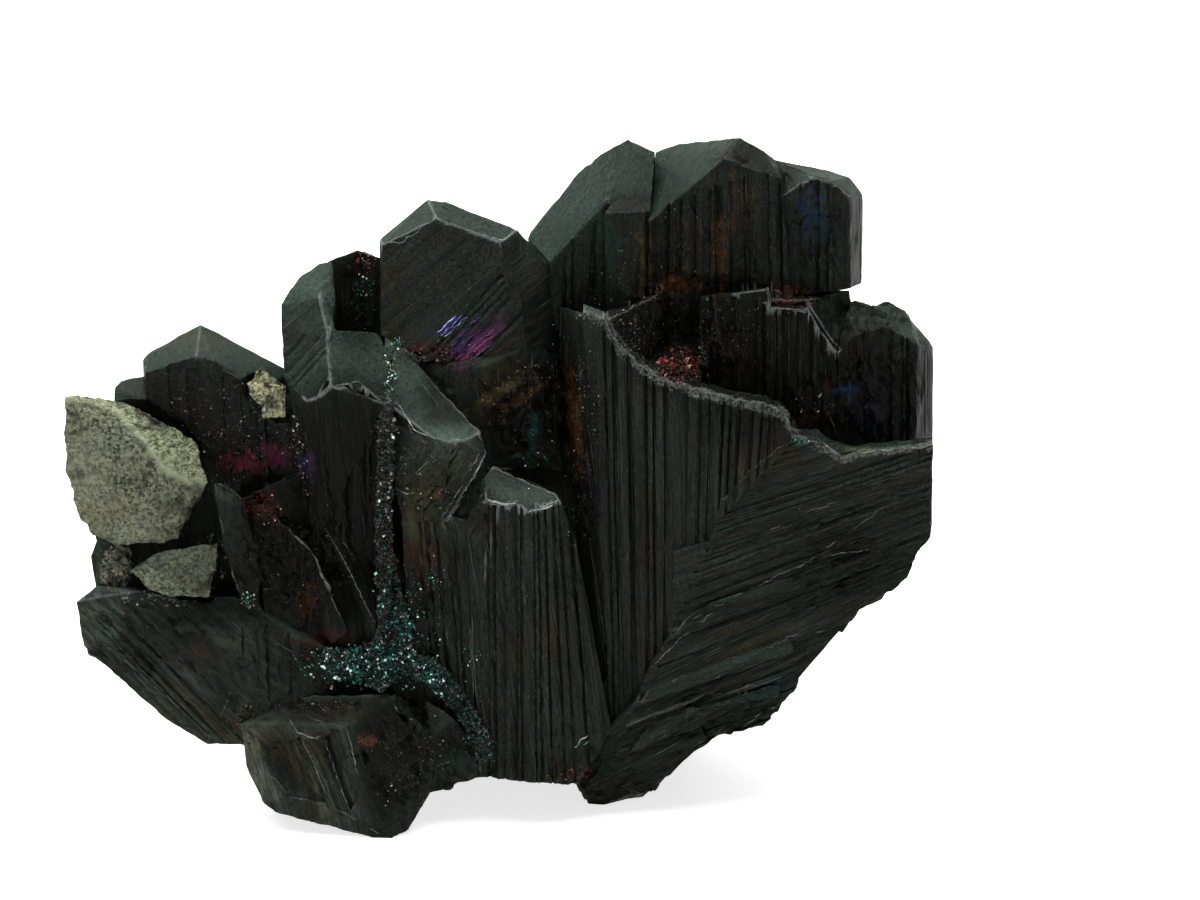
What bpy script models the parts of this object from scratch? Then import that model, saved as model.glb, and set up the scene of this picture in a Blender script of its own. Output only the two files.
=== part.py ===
"""Chalcocite specimen: thick striated crystals grown together, with chips of host rock and druse crusts.

The crystals are drawn on a leaning board. A spot is (column, row, depth): columns run to the right and rows
run down in grid steps, and depth is the millimetres a spot lies behind the front of the specimen. The board
leans back by BOARD_LEAN, so a spot further back at the same height is drawn on a higher row.
"""

import math
import random

import bmesh
import bpy
from mathutils import Matrix, Vector, noise
from mathutils.bvhtree import BVHTree

GRID_MM = 1.0 / 15.0
BOARD_LEAN = math.radians(22.0)
MIDDLE_COLUMN = 500.0
GROUND_ROW = 840.0
NODE_GAP = 0.3
MM = 0.001
LEAN_SIN, LEAN_COS = math.sin(BOARD_LEAN), math.cos(BOARD_LEAN)
INTO_BOARD = Vector((0.0, LEAN_COS, -LEAN_SIN))

CHALCOCITE = ((0.030, 0.031, 0.030, 1.0), 0.42, 0.75)
HOST_ROCK = ((0.20, 0.20, 0.17, 1.0), 0.92, 0.0)
PALE_ROCK = ((0.42, 0.40, 0.29, 1.0), 0.90, 0.0)
MALACHITE = ((0.05, 0.27, 0.22, 1.0), 0.55, 0.0)


def spot(column, row, depth):
    """The place of a drawn spot, in millimetres."""
    up = (GROUND_ROW - row) * GRID_MM
    return Vector(((column - MIDDLE_COLUMN) * GRID_MM, depth, (up - depth * LEAN_SIN) / LEAN_COS))


def spots(*drawn):
    return [spot(*each) for each in drawn]


def plane(column, row, depth, turn=0.0, tilt=0.0):
    """A flat face: turn 0 looks to the front and 90 to the right, tilt 90 looks up."""
    turn, tilt = math.radians(turn), math.radians(tilt)
    normal = Vector((math.sin(turn) * math.cos(tilt), -math.cos(turn) * math.cos(tilt), math.sin(tilt)))
    return spot(column, row, depth), normal


def plane_through(a, b, c):
    """The flat face through three places, looking out of the board."""
    normal = (b - a).cross(c - a).normalized()
    return a, normal if normal.dot(INTO_BOARD) < 0 else -normal


def on(flat, *drawn):
    """The places where the drawn (column, row) spots meet a flat face."""
    point, normal = flat
    places = []
    for column, row in drawn:
        near, far = spot(column, row, 0.0), spot(column, row, 1.0)
        along = far - near
        places.append(near + along * ((point - near).dot(normal) / along.dot(normal)))
    return places


def pushed(points, back, down=0.0, right=0.0):
    """The same corners, further back."""
    return [p + Vector((right, back, -down)) for p in points]


def new_object(name, bm):
    bmesh.ops.recalc_face_normals(bm, faces=bm.faces)
    for vertex in bm.verts:
        vertex.co *= MM
    mesh = bpy.data.meshes.new(name)
    bm.to_mesh(mesh)
    bm.free()
    made = bpy.data.objects.new(name, mesh)
    bpy.context.scene.collection.objects.link(made)
    return made


def hull(name, *groups):
    """A convex crystal around all its corners."""
    bm = bmesh.new()
    for corner in [p for points in groups for p in points]:
        bm.verts.new(corner)
    made = bmesh.ops.convex_hull(bm, input=bm.verts[:], use_existing_faces=False)
    spare = [e for e in made["geom_interior"] + made["geom_unused"] if isinstance(e, bmesh.types.BMVert)]
    bmesh.ops.delete(bm, geom=list(set(spare)), context="VERTS")
    return new_object(name, bm)


def slab(name, front, back):
    """A crystal plate between two outlines that have as many corners."""
    bm = bmesh.new()
    loops = [[bm.verts.new(p) for p in outline] for outline in (front, back)]
    count = len(front)
    for i in range(count):
        j = (i + 1) % count
        bm.faces.new((loops[0][i], loops[0][j], loops[1][j], loops[1][i]))
    bm.faces.new(loops[0][::-1])
    bm.faces.new(loops[1])
    return new_object(name, bm)


def volume(mesh):
    """The volume a mesh encloses, or nothing where it has an open edge."""
    bm = bmesh.new()
    bm.from_mesh(mesh)
    closed = all(edge.is_manifold for edge in bm.edges)
    enclosed = bm.calc_volume(signed=True) / MM ** 3 if closed else 0.0
    bm.free()
    return enclosed


def boolean(target, tool, operation):
    """Join or cut with the exact solver, or with the manifold one where that opens or loses the body."""
    body, other = volume(target.data), volume(tool.data)
    least = max(body, other) if operation == "UNION" else body - other
    step = target.modifiers.new("step", "BOOLEAN")
    step.operation, step.object = operation, tool
    for solver in ("EXACT", "MANIFOLD"):
        step.solver = solver
        graph = bpy.context.evaluated_depsgraph_get()
        mesh = bpy.data.meshes.new_from_object(target.evaluated_get(graph))
        if volume(mesh) > least - 0.01:
            break
    target.modifiers.clear()
    old, target.data = target.data, mesh
    bpy.data.meshes.remove(old)
    bpy.data.objects.remove(tool)


def shingle(name, flat, top_edge, low_edge, proud):
    """A thin ledge that starts just under the face at its top edge and stands proud at its low edge."""
    normal = flat[1]
    top, low = on(flat, *top_edge), on(flat, *low_edge)
    inner = [p - normal * 0.8 for p in top + low]
    return hull(name, [p - normal * 0.07 for p in top], [p + normal * proud for p in low], inner)


def valley(part, flat, shallow, deep, depth):
    """A wedge cut out of a flat face: it runs out at its shallow drawn edge and is steep at its deep one."""
    flush, low = on(flat, *shallow), on(flat, *deep)
    normal = flat[1]
    cut = hull("valley", flush, [p - normal * depth for p in low], [p + normal * 1.5 for p in flush + low])
    boolean(part, cut, "DIFFERENCE")


def grooves(part, flat, first, last, count, depth, seed, fill=0.8):
    """Growth lines over a drawn area: first and last are the drawn ends of its two edges."""
    a0, b0 = on(flat, *first)
    a1, b1 = on(flat, *last)
    cut_lines(part, flat[1], (a0, b0), (a1, b1), count, depth, seed, fill)


def cut_lines(part, normal, first, last, count, depth, seed, fill=0.8):
    """Cut growth lines between the first and the last line of a flat face.

    The lines share it out unevenly, and each is a lopsided notch, so the ribs left standing step up and down.
    """
    rng = random.Random(seed)
    (a0, b0), (a1, b1) = first, last
    widths = [rng.uniform(0.5, 1.6) for _ in range(count)]
    first_run, last_run = (b0 - a0).normalized(), (b1 - a1).normalized()
    reach = min((a1 - a0).cross(first_run).length, (b1 - b0).cross(first_run).length,
                (a1 - a0).cross(last_run).length, (b1 - b0).cross(last_run).length)
    bm = bmesh.new()
    for i, width in enumerate(widths):
        share = (sum(widths[:i]) + 0.5 * width) / sum(widths)
        start, end = a0.lerp(a1, share), b0.lerp(b1, share)
        side = (end - start).cross(normal).normalized()
        half = 0.5 * fill * reach * width / sum(widths)
        cut = depth * rng.uniform(0.45, 1.0)
        lean = rng.choice((-0.8, -0.6, 0.6, 0.8)) * half
        corners = (side * -half + normal * 0.3 * cut, side * half + normal * 0.3 * cut,
                   side * lean - normal * cut)
        rings = [[bm.verts.new(place + c) for c in corners] for place in (start, end)]
        for j in range(3):
            k = (j + 1) % 3
            bm.faces.new((rings[0][j], rings[0][k], rings[1][k], rings[1][j]))
        bm.faces.new(rings[0][::-1])
        bm.faces.new(rings[1])
    boolean(part, new_object("lines", bm), "DIFFERENCE")


def gabled(name, foot, tip, width, thick, roll, seed, lines=5):
    """A thick six-sided crystal from its foot to its tip, with a gabled end and lines on its two broad faces.

    width runs across the broad faces and thick between them; roll turns the crystal about its own axis.
    """
    rng = random.Random(seed)
    foot, tip = Vector(foot), Vector(tip)
    axis = (tip - foot).normalized()
    level = axis.cross(Vector((0, 0, 1))).normalized()
    side = level * math.cos(math.radians(roll)) + axis.cross(level) * math.sin(math.radians(roll))
    out = side.cross(axis).normalized()
    w, t = width / 2, thick / 2
    ring = ((-w, 0.15 * t), (-0.55 * w, t), (0.62 * w, t), (w, 0.2 * t), (0.6 * w, -t), (-0.6 * w, -t))

    def place(along, across, outward):
        return axis * along + side * across + out * outward

    length = (tip - foot).length
    low = [foot + place(0, x, y) for x, y in ring]
    high = [foot + place(length - w * (0.30 + 0.45 * abs(x) / w + 0.25 * (y > 0)) + rng.uniform(-0.3, 0.3),
                         x * 0.97, y * 0.97) for x, y in ring]
    ridge = [tip + place(0, 0.35 * w, -0.25 * t), tip + place(rng.uniform(-0.8, -0.2), -0.3 * w, -0.35 * t)]
    body = hull(name, low, high, ridge)
    for facing, face_t in ((out, t), (-out, t)):
        edge = 0.52 * w
        starts = [foot + place(0.0, x, 0.0) + facing * face_t for x in (-edge, edge)]
        ends = [p + axis * (length + 2.0) for p in starts]
        cut_lines(body, facing, (starts[0], ends[0]), (starts[1], ends[1]), lines, 0.4, seed + 1)
    return body


def roughened(name, corners, lump, cuts, seed):
    """A broken lump: its hull, roughened inward only, so that it keeps clear of what it lies on."""
    chip = hull(name, corners)
    bm = bmesh.new()
    bm.from_mesh(chip.data)
    bmesh.ops.subdivide_edges(bm, edges=bm.edges[:], cuts=cuts, use_grid_fill=True)
    bmesh.ops.triangulate(bm, faces=bm.faces[:])
    bm.normal_update()
    centre = sum((v.co for v in bm.verts), Vector()) / len(bm.verts)
    shift = Vector((seed * 3.1, seed * 1.7, seed * 2.3))
    for vertex in bm.verts:
        place = vertex.co / MM
        bite = 0.5 + 0.5 * noise.noise(place * 0.55 + shift)
        grit = 0.5 + 0.5 * noise.noise(place * 1.9 + shift)
        inward = (centre - vertex.co).normalized()
        vertex.co += inward * MM * lump * (0.75 * bite + 0.35 * grit)
    bm.to_mesh(chip.data)
    bm.free()
    return chip


def grown(points, gap):
    """Corners of a body that clears these corners by the gap on every side."""
    return [p + Vector((x, y, z)) * gap for p in points for x in (-1, 1) for y in (-1, 1) for z in (-1, 1)]


def ground(column, depth):
    """A spot where the specimen stands on the ground."""
    return Vector(((column - MIDDLE_COLUMN) * GRID_MM, depth, 0.0))


# ---------------------------------------------------------------- the tall group at the back, on the right

def back_group():
    peak, ridge_foot = spots((610, 149, 16.5), (606, 203, 12.3))
    left_bevel = plane_through(peak, ridge_foot, spot(550, 262, 12.3))
    mid_bevel = plane_through(peak, ridge_foot, spot(650, 212, 12.6))
    left = hull(
        "back_left",
        on(left_bevel, (606, 203), (550, 262), (530, 232), (560, 200), (578, 172), (596, 157), (610, 149)),
        on(mid_bevel, (650, 212), (655, 151), (628, 139)),
        spots((548, 330, 12.3), (606, 330, 12.0), (655, 330, 12.6)),
        spots((528, 238, 16), (560, 205, 20), (610, 165, 21), (655, 160, 21), (540, 340, 20), (655, 330, 22)))
    grooves(left, plane(575, 280, 12.2), ((558, 262), (556, 330)), ((598, 215), (600, 330)), 3, 0.4, 3)
    small = hull(
        "small_tip",
        spots((605, 214, 11.2), (612, 203, 12.0), (626, 198, 12.6), (640, 201, 12.2), (644, 213, 11.4)),
        spots((606, 310, 10.9), (628, 312, 10.4), (645, 310, 11.2), (610, 310, 14), (645, 310, 14)))
    front = plane(700, 240, 11.8, turn=-4)
    right_bevel = plane_through(*spots((656, 216, 12.2), (740, 138, 15.5), (700, 190, 12.0)))
    middle = hull(
        "back_middle",
        on(front, (649, 222), (657, 217), (680, 209), (700, 190), (724, 160), (780, 180), (790, 300),
           (649, 320)),
        on(right_bevel, (740, 138), (680, 143), (656, 151)),
        spots((765, 152, 15), (790, 172, 15), (660, 165, 22), (740, 150, 22), (800, 185, 21), (800, 290, 21),
              (660, 320, 22)))
    grooves(middle, front, ((660, 205), (658, 330)), ((782, 165), (786, 310)), 10, 0.42, 5)
    edge = plane(820, 240, 12.2, turn=6)
    right = hull(
        "back_right",
        on(edge, (783, 196), (800, 184), (816, 179), (831, 181), (849, 197), (851, 288), (783, 297)),
        spots((765, 158, 15.5), (800, 166, 15.5), (830, 171, 15.5), (850, 178, 15.5), (863, 195, 15.2)),
        spots((863, 282, 15.2), (770, 172, 21), (863, 195, 20), (863, 282, 20), (780, 290, 21)))
    grooves(right, edge, ((794, 175), (794, 300)), ((846, 190), (846, 300)), 4, 0.3, 8)
    return [left, small, middle, right]


def right_group():
    front = plane(880, 390, 9.0, turn=4)
    crystal = hull(
        "right_back",
        on(front, (837, 352), (855, 335), (885, 326), (905, 344), (917, 345), (917, 452), (838, 452)),
        spots((849, 302, 13), (890, 303, 13), (905, 311, 13), (918, 338, 13), (934, 346, 12), (934, 441, 12)),
        spots((849, 310, 18), (915, 330, 18), (934, 350, 17), (934, 441, 17), (840, 440, 18)))
    grooves(crystal, front, ((846, 330), (846, 460)), ((912, 330), (912, 460)), 5, 0.3, 12)
    ledge = plane(770, 350, 9.2, turn=-3)
    top = on(ledge, (700, 297), (738, 293), (768, 289), (770, 308), (808, 309), (820, 330), (836, 352),
             (840, 460), (700, 440))
    wall = slab("ledge_wall", top, pushed(top, 9.0, 3.2))
    grooves(wall, ledge, ((706, 290), (706, 450)), ((832, 320), (832, 460)), 10, 0.45, 14)
    shoulder = hull("shoulder", spots(
        (770, 300, 11.4), (806, 300, 11.2), (836, 345, 10.4), (850, 290, 14.6), (848, 340, 11.5),
        (836, 400, 10), (770, 400, 11), (850, 300, 18), (770, 290, 18), (848, 400, 17)))
    return [crystal, wall, shoulder]


# ---------------------------------------------------------------- the big striated plate

def plate():
    left = plane(640, 560, 4.6, turn=-2)
    upright = on(left, (583, 313), (605, 321), (614, 340), (640, 367), (662, 381), (700, 392), (735, 401),
                 (764, 404), (784, 414), (794, 440), (720, 520), (690, 640), (660, 740), (612, 770),
                 (575, 776), (597, 752), (611, 728), (605, 620), (598, 500), (590, 400))
    plain = slab("plate_left", upright, pushed(upright, 1.7))
    grooves(plain, left, ((598, 300), (612, 790)), ((784, 395), (760, 620)), 15, 0.5, 21)
    right = plane(672, 600, 4.2, turn=4)
    fan = on(right, (790, 436), (818, 439), (842, 458), (870, 451), (931, 446), (931, 537), (919, 552),
             (908, 578), (885, 595), (860, 610), (843, 633), (829, 629), (820, 645), (803, 663), (797, 692),
             (783, 703), (779, 712), (764, 727), (735, 734), (720, 736), (700, 748), (667, 779), (640, 788),
             (600, 792), (577, 786), (612, 728), (636, 702), (652, 664), (673, 630), (673, 552), (710, 541),
             (721, 500), (760, 461))
    slanted = slab("plate_right", fan, pushed(fan, 1.5))
    steps = [
        shingle("step", right, ((742, 520), (929, 462)), ((760, 532), (929, 482)), 0.35),
        shingle("step", right, ((700, 602), (880, 545)), ((672, 634), (745, 600), (884, 560)), 0.35),
        shingle("step", right, ((650, 686), (790, 636)), ((640, 702), (742, 660), (794, 650)), 0.5),
        shingle("step", right, ((650, 725), (782, 682)), ((628, 752), (700, 706), (778, 694)), 0.55),
        shingle("step", right, ((605, 762), (700, 722)), ((590, 782), (640, 770), (705, 738)), 0.5)]
    for step in steps:
        boolean(slanted, step, "UNION")
    grooves(slanted, right, ((725, 500), (940, 432)), ((655, 672), (915, 566)), 12, 0.26, 22)
    grooves(slanted, right, ((640, 706), (880, 606)), ((600, 780), (800, 712)), 6, 0.26, 23)
    side = hull(
        "plate_side",
        spots((583, 314, 5.0), (590, 400, 5.0), (598, 500, 4.9), (605, 620, 4.8), (609, 700, 4.9)),
        spots((558, 306, 12.2), (562, 400, 10.8), (568, 500, 9.2), (580, 620, 7.6), (592, 700, 6.6)),
        spots((612, 330, 9.5), (660, 480, 12), (660, 690, 9)))
    backing = hull(
        "plate_backing",
        spots((620, 400, 5.4), (700, 412, 5.4), (792, 450, 5.0), (842, 476, 5.4), (924, 466, 5.8),
              (924, 532, 5.8), (850, 608, 5.6), (790, 690, 5.0), (716, 730, 5.0), (640, 780, 4.6),
              (600, 780, 4.8), (618, 700, 5.4)),
        spots((640, 420, 10), (790, 440, 10), (900, 455, 11), (912, 520, 10.5), (830, 610, 10),
              (760, 690, 9.5), (640, 740, 9.5)))
    foot = hull("plate_foot", spots((574, 783, 5.0), (576, 790, 5.2), (668, 776, 6.0), (655, 795, 5.6),
                                    (600, 765, 5), (662, 765, 5), (590, 760, 11), (655, 760, 11)),
                [ground(588, 6.1), ground(604, 5.9), ground(638, 7.4), ground(596, 9.0), ground(636, 10.2)])
    return [plain, slanted, side, backing, foot]


def cavity():
    """The hollow behind the plate: a left wall, a floor with druse and a back wall."""
    wall = spots((604, 322, 6.6), (662, 291, 12.4), (655, 345, 11.2), (640, 370, 6.8))
    floor = spots((640, 370, 6.8), (655, 345, 11.2), (702, 345, 11.4), (702, 396, 6.8))
    return [
        hull("cavity_wall", wall, spots((590, 340, 9), (610, 300, 15), (600, 430, 8), (660, 430, 8),
                                        (660, 300, 16))),
        hull("cavity_floor", floor, pushed(floor, 0, 6), spots((655, 350, 17), (702, 350, 17))),
        hull("cavity_back", spots((640, 318, 12.6), (702, 290, 12.4), (702, 360, 11.6), (648, 360, 11.6),
                                  (640, 300, 18), (702, 290, 18), (702, 360, 18)))]


# ---------------------------------------------------------------- the middle of the front

def front_prism():
    top = plane_through(*spots((493, 466, 4.4), (486, 498, 2.2), (558, 497, 2.4)))
    left = plane_through(*spots((480, 778, 2.3), (530, 783, 1.5), (528, 511, 1.5)))
    right = plane_through(*spots((530, 783, 1.5), (528, 511, 1.5), (576, 786, 2.3)))
    prism_body = hull(
        "front_prism",
        on(top, (493, 466), (484, 481), (486, 499), (560, 500), (556, 494)),
        on(left, (480, 778), (480, 560), (530, 783), (528, 511)),
        on(right, (576, 540), (576, 786), (599, 752)),
        spots((466, 522, 3.2), (611, 728, 3.8)),
        spots((470, 530, 8), (560, 505, 8), (608, 728, 8), (575, 780, 8), (482, 770, 8)))
    grooves(prism_body, left, ((485, 505), (486, 790)), ((526, 505), (527, 790)), 5, 0.4, 31)
    grooves(prism_body, right, ((533, 500), (534, 790)), ((572, 500), (596, 780)), 6, 0.4, 32)
    side = plane_through(*spots((402, 500, 4.6), (466, 520, 3.4), (478, 778, 2.6)))
    neighbour = hull(
        "prism_neighbour",
        on(side, (402, 500), (466, 520), (478, 778), (437, 788), (407, 640)),
        spots((425, 765, 3.8), (402, 500, 9), (466, 500, 9), (478, 770, 9), (437, 770, 9)))
    grooves(neighbour, side, ((410, 490), (438, 800)), ((460, 505), (475, 790)), 5, 0.35, 33)
    return [prism_body, neighbour]


def central_crystal():
    front = plane(450, 300, 8.6, turn=7, tilt=2)
    main = hull(
        "central",
        on(front, (383, 246), (405, 243), (437, 219), (500, 243), (521, 300), (500, 350), (480, 368),
           (440, 362), (400, 345), (381, 335)),
        spots((380, 240, 9.8), (428, 200, 11.2), (446, 202, 11.2), (518, 230, 11.2)),
        spots((549, 265, 12.5), (561, 352, 12.5), (526, 346, 9.4)),
        spots((382, 250, 16), (430, 210, 17), (520, 240, 17), (550, 275, 17), (560, 350, 17), (390, 340, 16)))
    grooves(main, front, ((428, 350), (500, 270)), ((470, 372), (524, 318)), 5, 0.35, 41)
    foot = hull(
        "central_foot",
        spots((416, 364, 8.8), (448, 365, 8.2), (484, 368, 8.2), (526, 346, 9.5), (561, 354, 12.4),
              (490, 402, 7.7), (452, 410, 7.3), (430, 400, 7.8), (492, 470, 7.2), (455, 470, 6.8),
              (563, 470, 7.6)),
        spots((416, 364, 12), (560, 354, 14), (560, 470, 14), (455, 470, 13)))
    return [main, foot]


def hooked_crystals():
    ridge_top, ridge_foot = spots((320, 298, 8.4), (333, 387, 4.6))
    left_face = plane_through(ridge_top, ridge_foot, spot(284, 372, 7.0))
    top_face = plane_through(ridge_top, ridge_foot, spot(388, 404, 5.0))
    hook = hull(
        "hook",
        on(left_face, (320, 298), (333, 387), (321, 397), (307, 401), (285, 379), (282, 330), (282, 305)),
        on(top_face, (358, 382), (388, 405), (394, 372), (380, 336), (346, 333)),
        spots((312, 560, 5.0), (390, 580, 5.0), (340, 560, 4.4), (300, 440, 6.4)),
        spots((284, 320, 13), (380, 345, 12), (300, 480, 12), (390, 560, 10)))
    notch = ((326, 296), (336, 331), (394, 334), (394, 240), (326, 240))
    notch_ends = [[spot(column, row, depth) for column, row in notch] for depth in (3.0, 14.0)]
    boolean(hook, slab("hook_notch", *notch_ends), "DIFFERENCE")
    grooves(hook, left_face, ((276, 335), (318, 290)), ((292, 402), (332, 358)), 6, 0.12, 51)
    grooves(hook, plane_through(*spots((321, 397, 4.9), (340, 560, 4.4), (388, 405, 5.0))),
            ((318, 380), (322, 600)), ((384, 390), (386, 600)), 5, 0.4, 52)
    upper = hull(
        "hook_upper",
        on(left_face, (282, 330), (282, 305), (320, 298), (330, 340)),
        spots((290, 290, 10.1), (300, 277, 10.6), (320, 264, 11.1), (332, 262, 11.2), (336, 300, 9.0)),
        spots((284, 320, 15), (322, 268, 16), (340, 340, 14)))
    pocket = hull(
        "hook_pocket",
        spots((328, 262, 11.4), (338, 258, 11.6), (358, 251, 11.8), (380, 258, 11.8), (384, 345, 10.6),
              (322, 345, 10.6)),
        spots((330, 266, 16), (380, 262, 16), (384, 345, 16), (322, 345, 16)))
    leaf = plane_through(*spots((395, 341, 8.4), (388, 402, 5.0), (480, 432, 4.2)))
    leaf_front = plane_through(*spots((404, 414, 4.9), (450, 442, 3.6), (446, 524, 3.5)))
    blade = hull(
        "leaf",
        on(leaf, (395, 341), (412, 360), (441, 395), (480, 432), (466, 440), (450, 442), (434, 438),
           (404, 414), (388, 403)),
        spots((487, 453, 3.9), (446, 524, 3.6), (402, 520, 4.8), (392, 470, 4.9)),
        spots((400, 350, 12), (480, 440, 10), (450, 520, 9), (392, 520, 9)))
    grooves(blade, leaf_front, ((444, 440), (400, 478)), ((482, 460), (438, 528)), 5, 0.3, 53)
    column = hull(
        "leaf_column",
        spots((484, 462, 5.0), (488, 500, 3.6), (488, 540, 3.4), (440, 536, 4.2), (446, 518, 4.3),
              (458, 492, 4.6)),
        spots((470, 455, 9), (489, 470, 9), (488, 540, 8), (440, 536, 8)))
    return [hook, upper, pocket, blade, column]


# ---------------------------------------------------------------- the left side

def left_crystal():
    front = plane(210, 420, 7.4, turn=-6)
    main = hull(
        "left_crystal",
        on(front, (146, 373), (161, 373), (179, 377), (197, 356), (216, 361), (246, 381), (290, 408),
           (300, 470), (230, 520), (150, 470)),
        spots((143, 375, 10), (143, 360, 10.4), (150, 352, 10.8), (200, 324, 12), (241, 348, 12),
              (283, 368, 12)),
        spots((150, 365, 16), (200, 335, 17), (284, 375, 17), (150, 500, 14), (300, 500, 15)))
    grooves(main, front, ((165, 360), (168, 520)), ((282, 395), (290, 520)), 6, 0.3, 61)
    knob = hull(
        "left_knob",
        spots((113, 403, 8.6), (114, 388, 9.4), (121, 380, 10), (144, 376, 10), (150, 400, 7.9),
              (145, 440, 7.9), (116, 440, 8.8)),
        spots((118, 390, 13), (150, 382, 13), (118, 440, 12), (150, 450, 12)))
    bed = hull(
        "left_bed",
        spots((112, 420, 9.4), (230, 500, 7.0), (250, 600, 6.0), (140, 600, 6.8), (100, 560, 8.4),
              (90, 520, 9.6)),
        spots((120, 420, 15), (250, 480, 15), (250, 600, 14), (110, 580, 13)))
    return [main, knob, bed]


def blades():
    shapes = (
        ((215, 483, 2.6), (222, 481, 2.8), (241, 493, 3.0), (246, 501, 3.0), (224, 545, 2.2), (243, 606, 2.6),
         (262, 612, 3.2), (256, 540, 3.6), (225, 500, 6), (245, 606, 6)),
        ((271, 518, 4.9), (293, 533, 4.1), (308, 545, 3.7), (318, 560, 3.4), (324, 578, 3.3), (334, 600, 3.3),
         (347, 631, 3.4), (331, 645, 3.6), (299, 603, 4.7), (285, 561, 4.9), (291, 546, 8.5),
         (343, 622, 8.5)),
        ((324, 527, 4.5), (340, 552, 3.8), (352, 575, 3.5), (366, 605, 3.3), (377, 624, 3.3), (351, 529, 5.3),
         (373, 561, 4.9), (383, 601, 4.3), (371, 645, 3.8), (331, 546, 8.5), (377, 642, 8.5),
         (379, 571, 9.5)),
        ((252, 500, 5.0), (272, 506, 5.0), (300, 560, 4.4), (306, 625, 4.0), (270, 640, 3.6), (256, 560, 4.4),
         (262, 520, 8), (300, 620, 8)),
    )
    return [hull("blade", spots(*shape)) for shape in shapes]


def lower_left_mass():
    ridged = plane_through(*spots((84, 650, 5.2), (236, 640, 2.7), (165, 720, 3.7)))
    body = hull(
        "lower_left",
        on(ridged, (84, 650), (123, 681), (165, 720), (236, 640), (120, 622)),
        spots((74, 602, 5.6), (95, 586, 6.0), (140, 590, 4.6), (240, 598, 3.6), (207, 745, 3.4),
              (243, 745, 2.6), (300, 640, 2.9), (302, 700, 2.4), (326, 648, 3.5), (336, 692, 3.1)),
        spots((80, 610, 9), (100, 590, 10), (300, 600, 10), (240, 735, 8), (125, 675, 9), (330, 696, 9)))
    grooves(body, ridged, ((78, 628), (205, 760)), ((130, 600), (262, 735)), 6, 0.4, 71)
    fluted = plane_through(*spots((236, 640, 2.7), (300, 640, 2.9), (302, 700, 2.4)))
    grooves(body, fluted, ((240, 625), (242, 760)), ((292, 625), (296, 740)), 4, 0.35, 72)
    shard = hull(
        "left_shard",
        spots((90, 556, 6.8), (96, 540, 7.2), (120, 545, 6.6), (104, 592, 6.0), (94, 588, 6.4),
              (140, 600, 6)),
        spots((96, 550, 9), (140, 545, 9), (140, 600, 9), (98, 590, 9)))
    trough = hull(
        "trough_bed",
        spots((240, 500, 5.6), (300, 470, 6.6), (400, 560, 5.6), (420, 640, 4.6), (430, 700, 4.2),
              (300, 700, 3.4), (240, 640, 4.0), (250, 560, 5.0)),
        spots((240, 500, 12), (400, 480, 12), (430, 700, 12), (240, 640, 12)))
    return [body, shard, trough]


def bottom_crystal():
    front = plane_through(*spots((262, 762, 0.9), (357, 775, 0.1), (345, 811, 0.1)))
    main = hull(
        "bottom_crystal",
        on(front, (262, 762), (300, 795), (345, 811), (357, 775), (290, 744)),
        spots((240, 724, 1.7), (381, 838, 0.2), (312, 823, 0.7), (275, 813, 1.1), (263, 803, 1.2),
              (255, 788, 1.5), (246, 768, 1.8), (290, 718, 1.5), (345, 727, 0.6), (272, 706, 2.6),
              (304, 700, 2.5), (340, 702, 2.2)),
        spots((240, 724, 6), (345, 704, 6), (262, 800, 5)),
        [ground(372, 0.3), ground(392, 0.2), ground(372, 3.6)])
    valley(main, front, ((262, 752), (289, 797)), ((300, 737), (327, 806)), 0.55)
    valley(main, front, ((345, 722), (363, 790)), ((325, 738), (350, 812)), 0.55)
    grooves(main, front, ((270, 735), (312, 830)), ((335, 730), (372, 835)), 4, 0.16, 81)
    rough = hull(
        "bottom_rough",
        spots((300, 698, 2.4), (362, 695, 1.9), (395, 694, 2.0), (395, 704, 1.4), (386, 745, 0.6),
              (398, 776, 0.4), (408, 830, 0.8), (414, 811, 1.2), (430, 794, 1.8), (432, 740, 1.6),
              (345, 728, 0.6), (357, 775, 0.2)),
        spots((300, 700, 7), (432, 720, 7), (425, 790, 6)),
        [ground(390, 0.2), ground(406, 1.4), ground(404, 4.6)])
    green = hull(
        "bottom_green_faces",
        spots((425, 700, 3.0), (455, 720, 2.4), (492, 770, 2.6), (478, 779, 2.4), (450, 786, 2.4),
              (428, 795, 2.2), (430, 740, 1.8)),
        spots((425, 700, 8), (490, 760, 8), (430, 785, 7)))
    return [main, rough, green]


# ---------------------------------------------------------------- the hidden side

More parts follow.
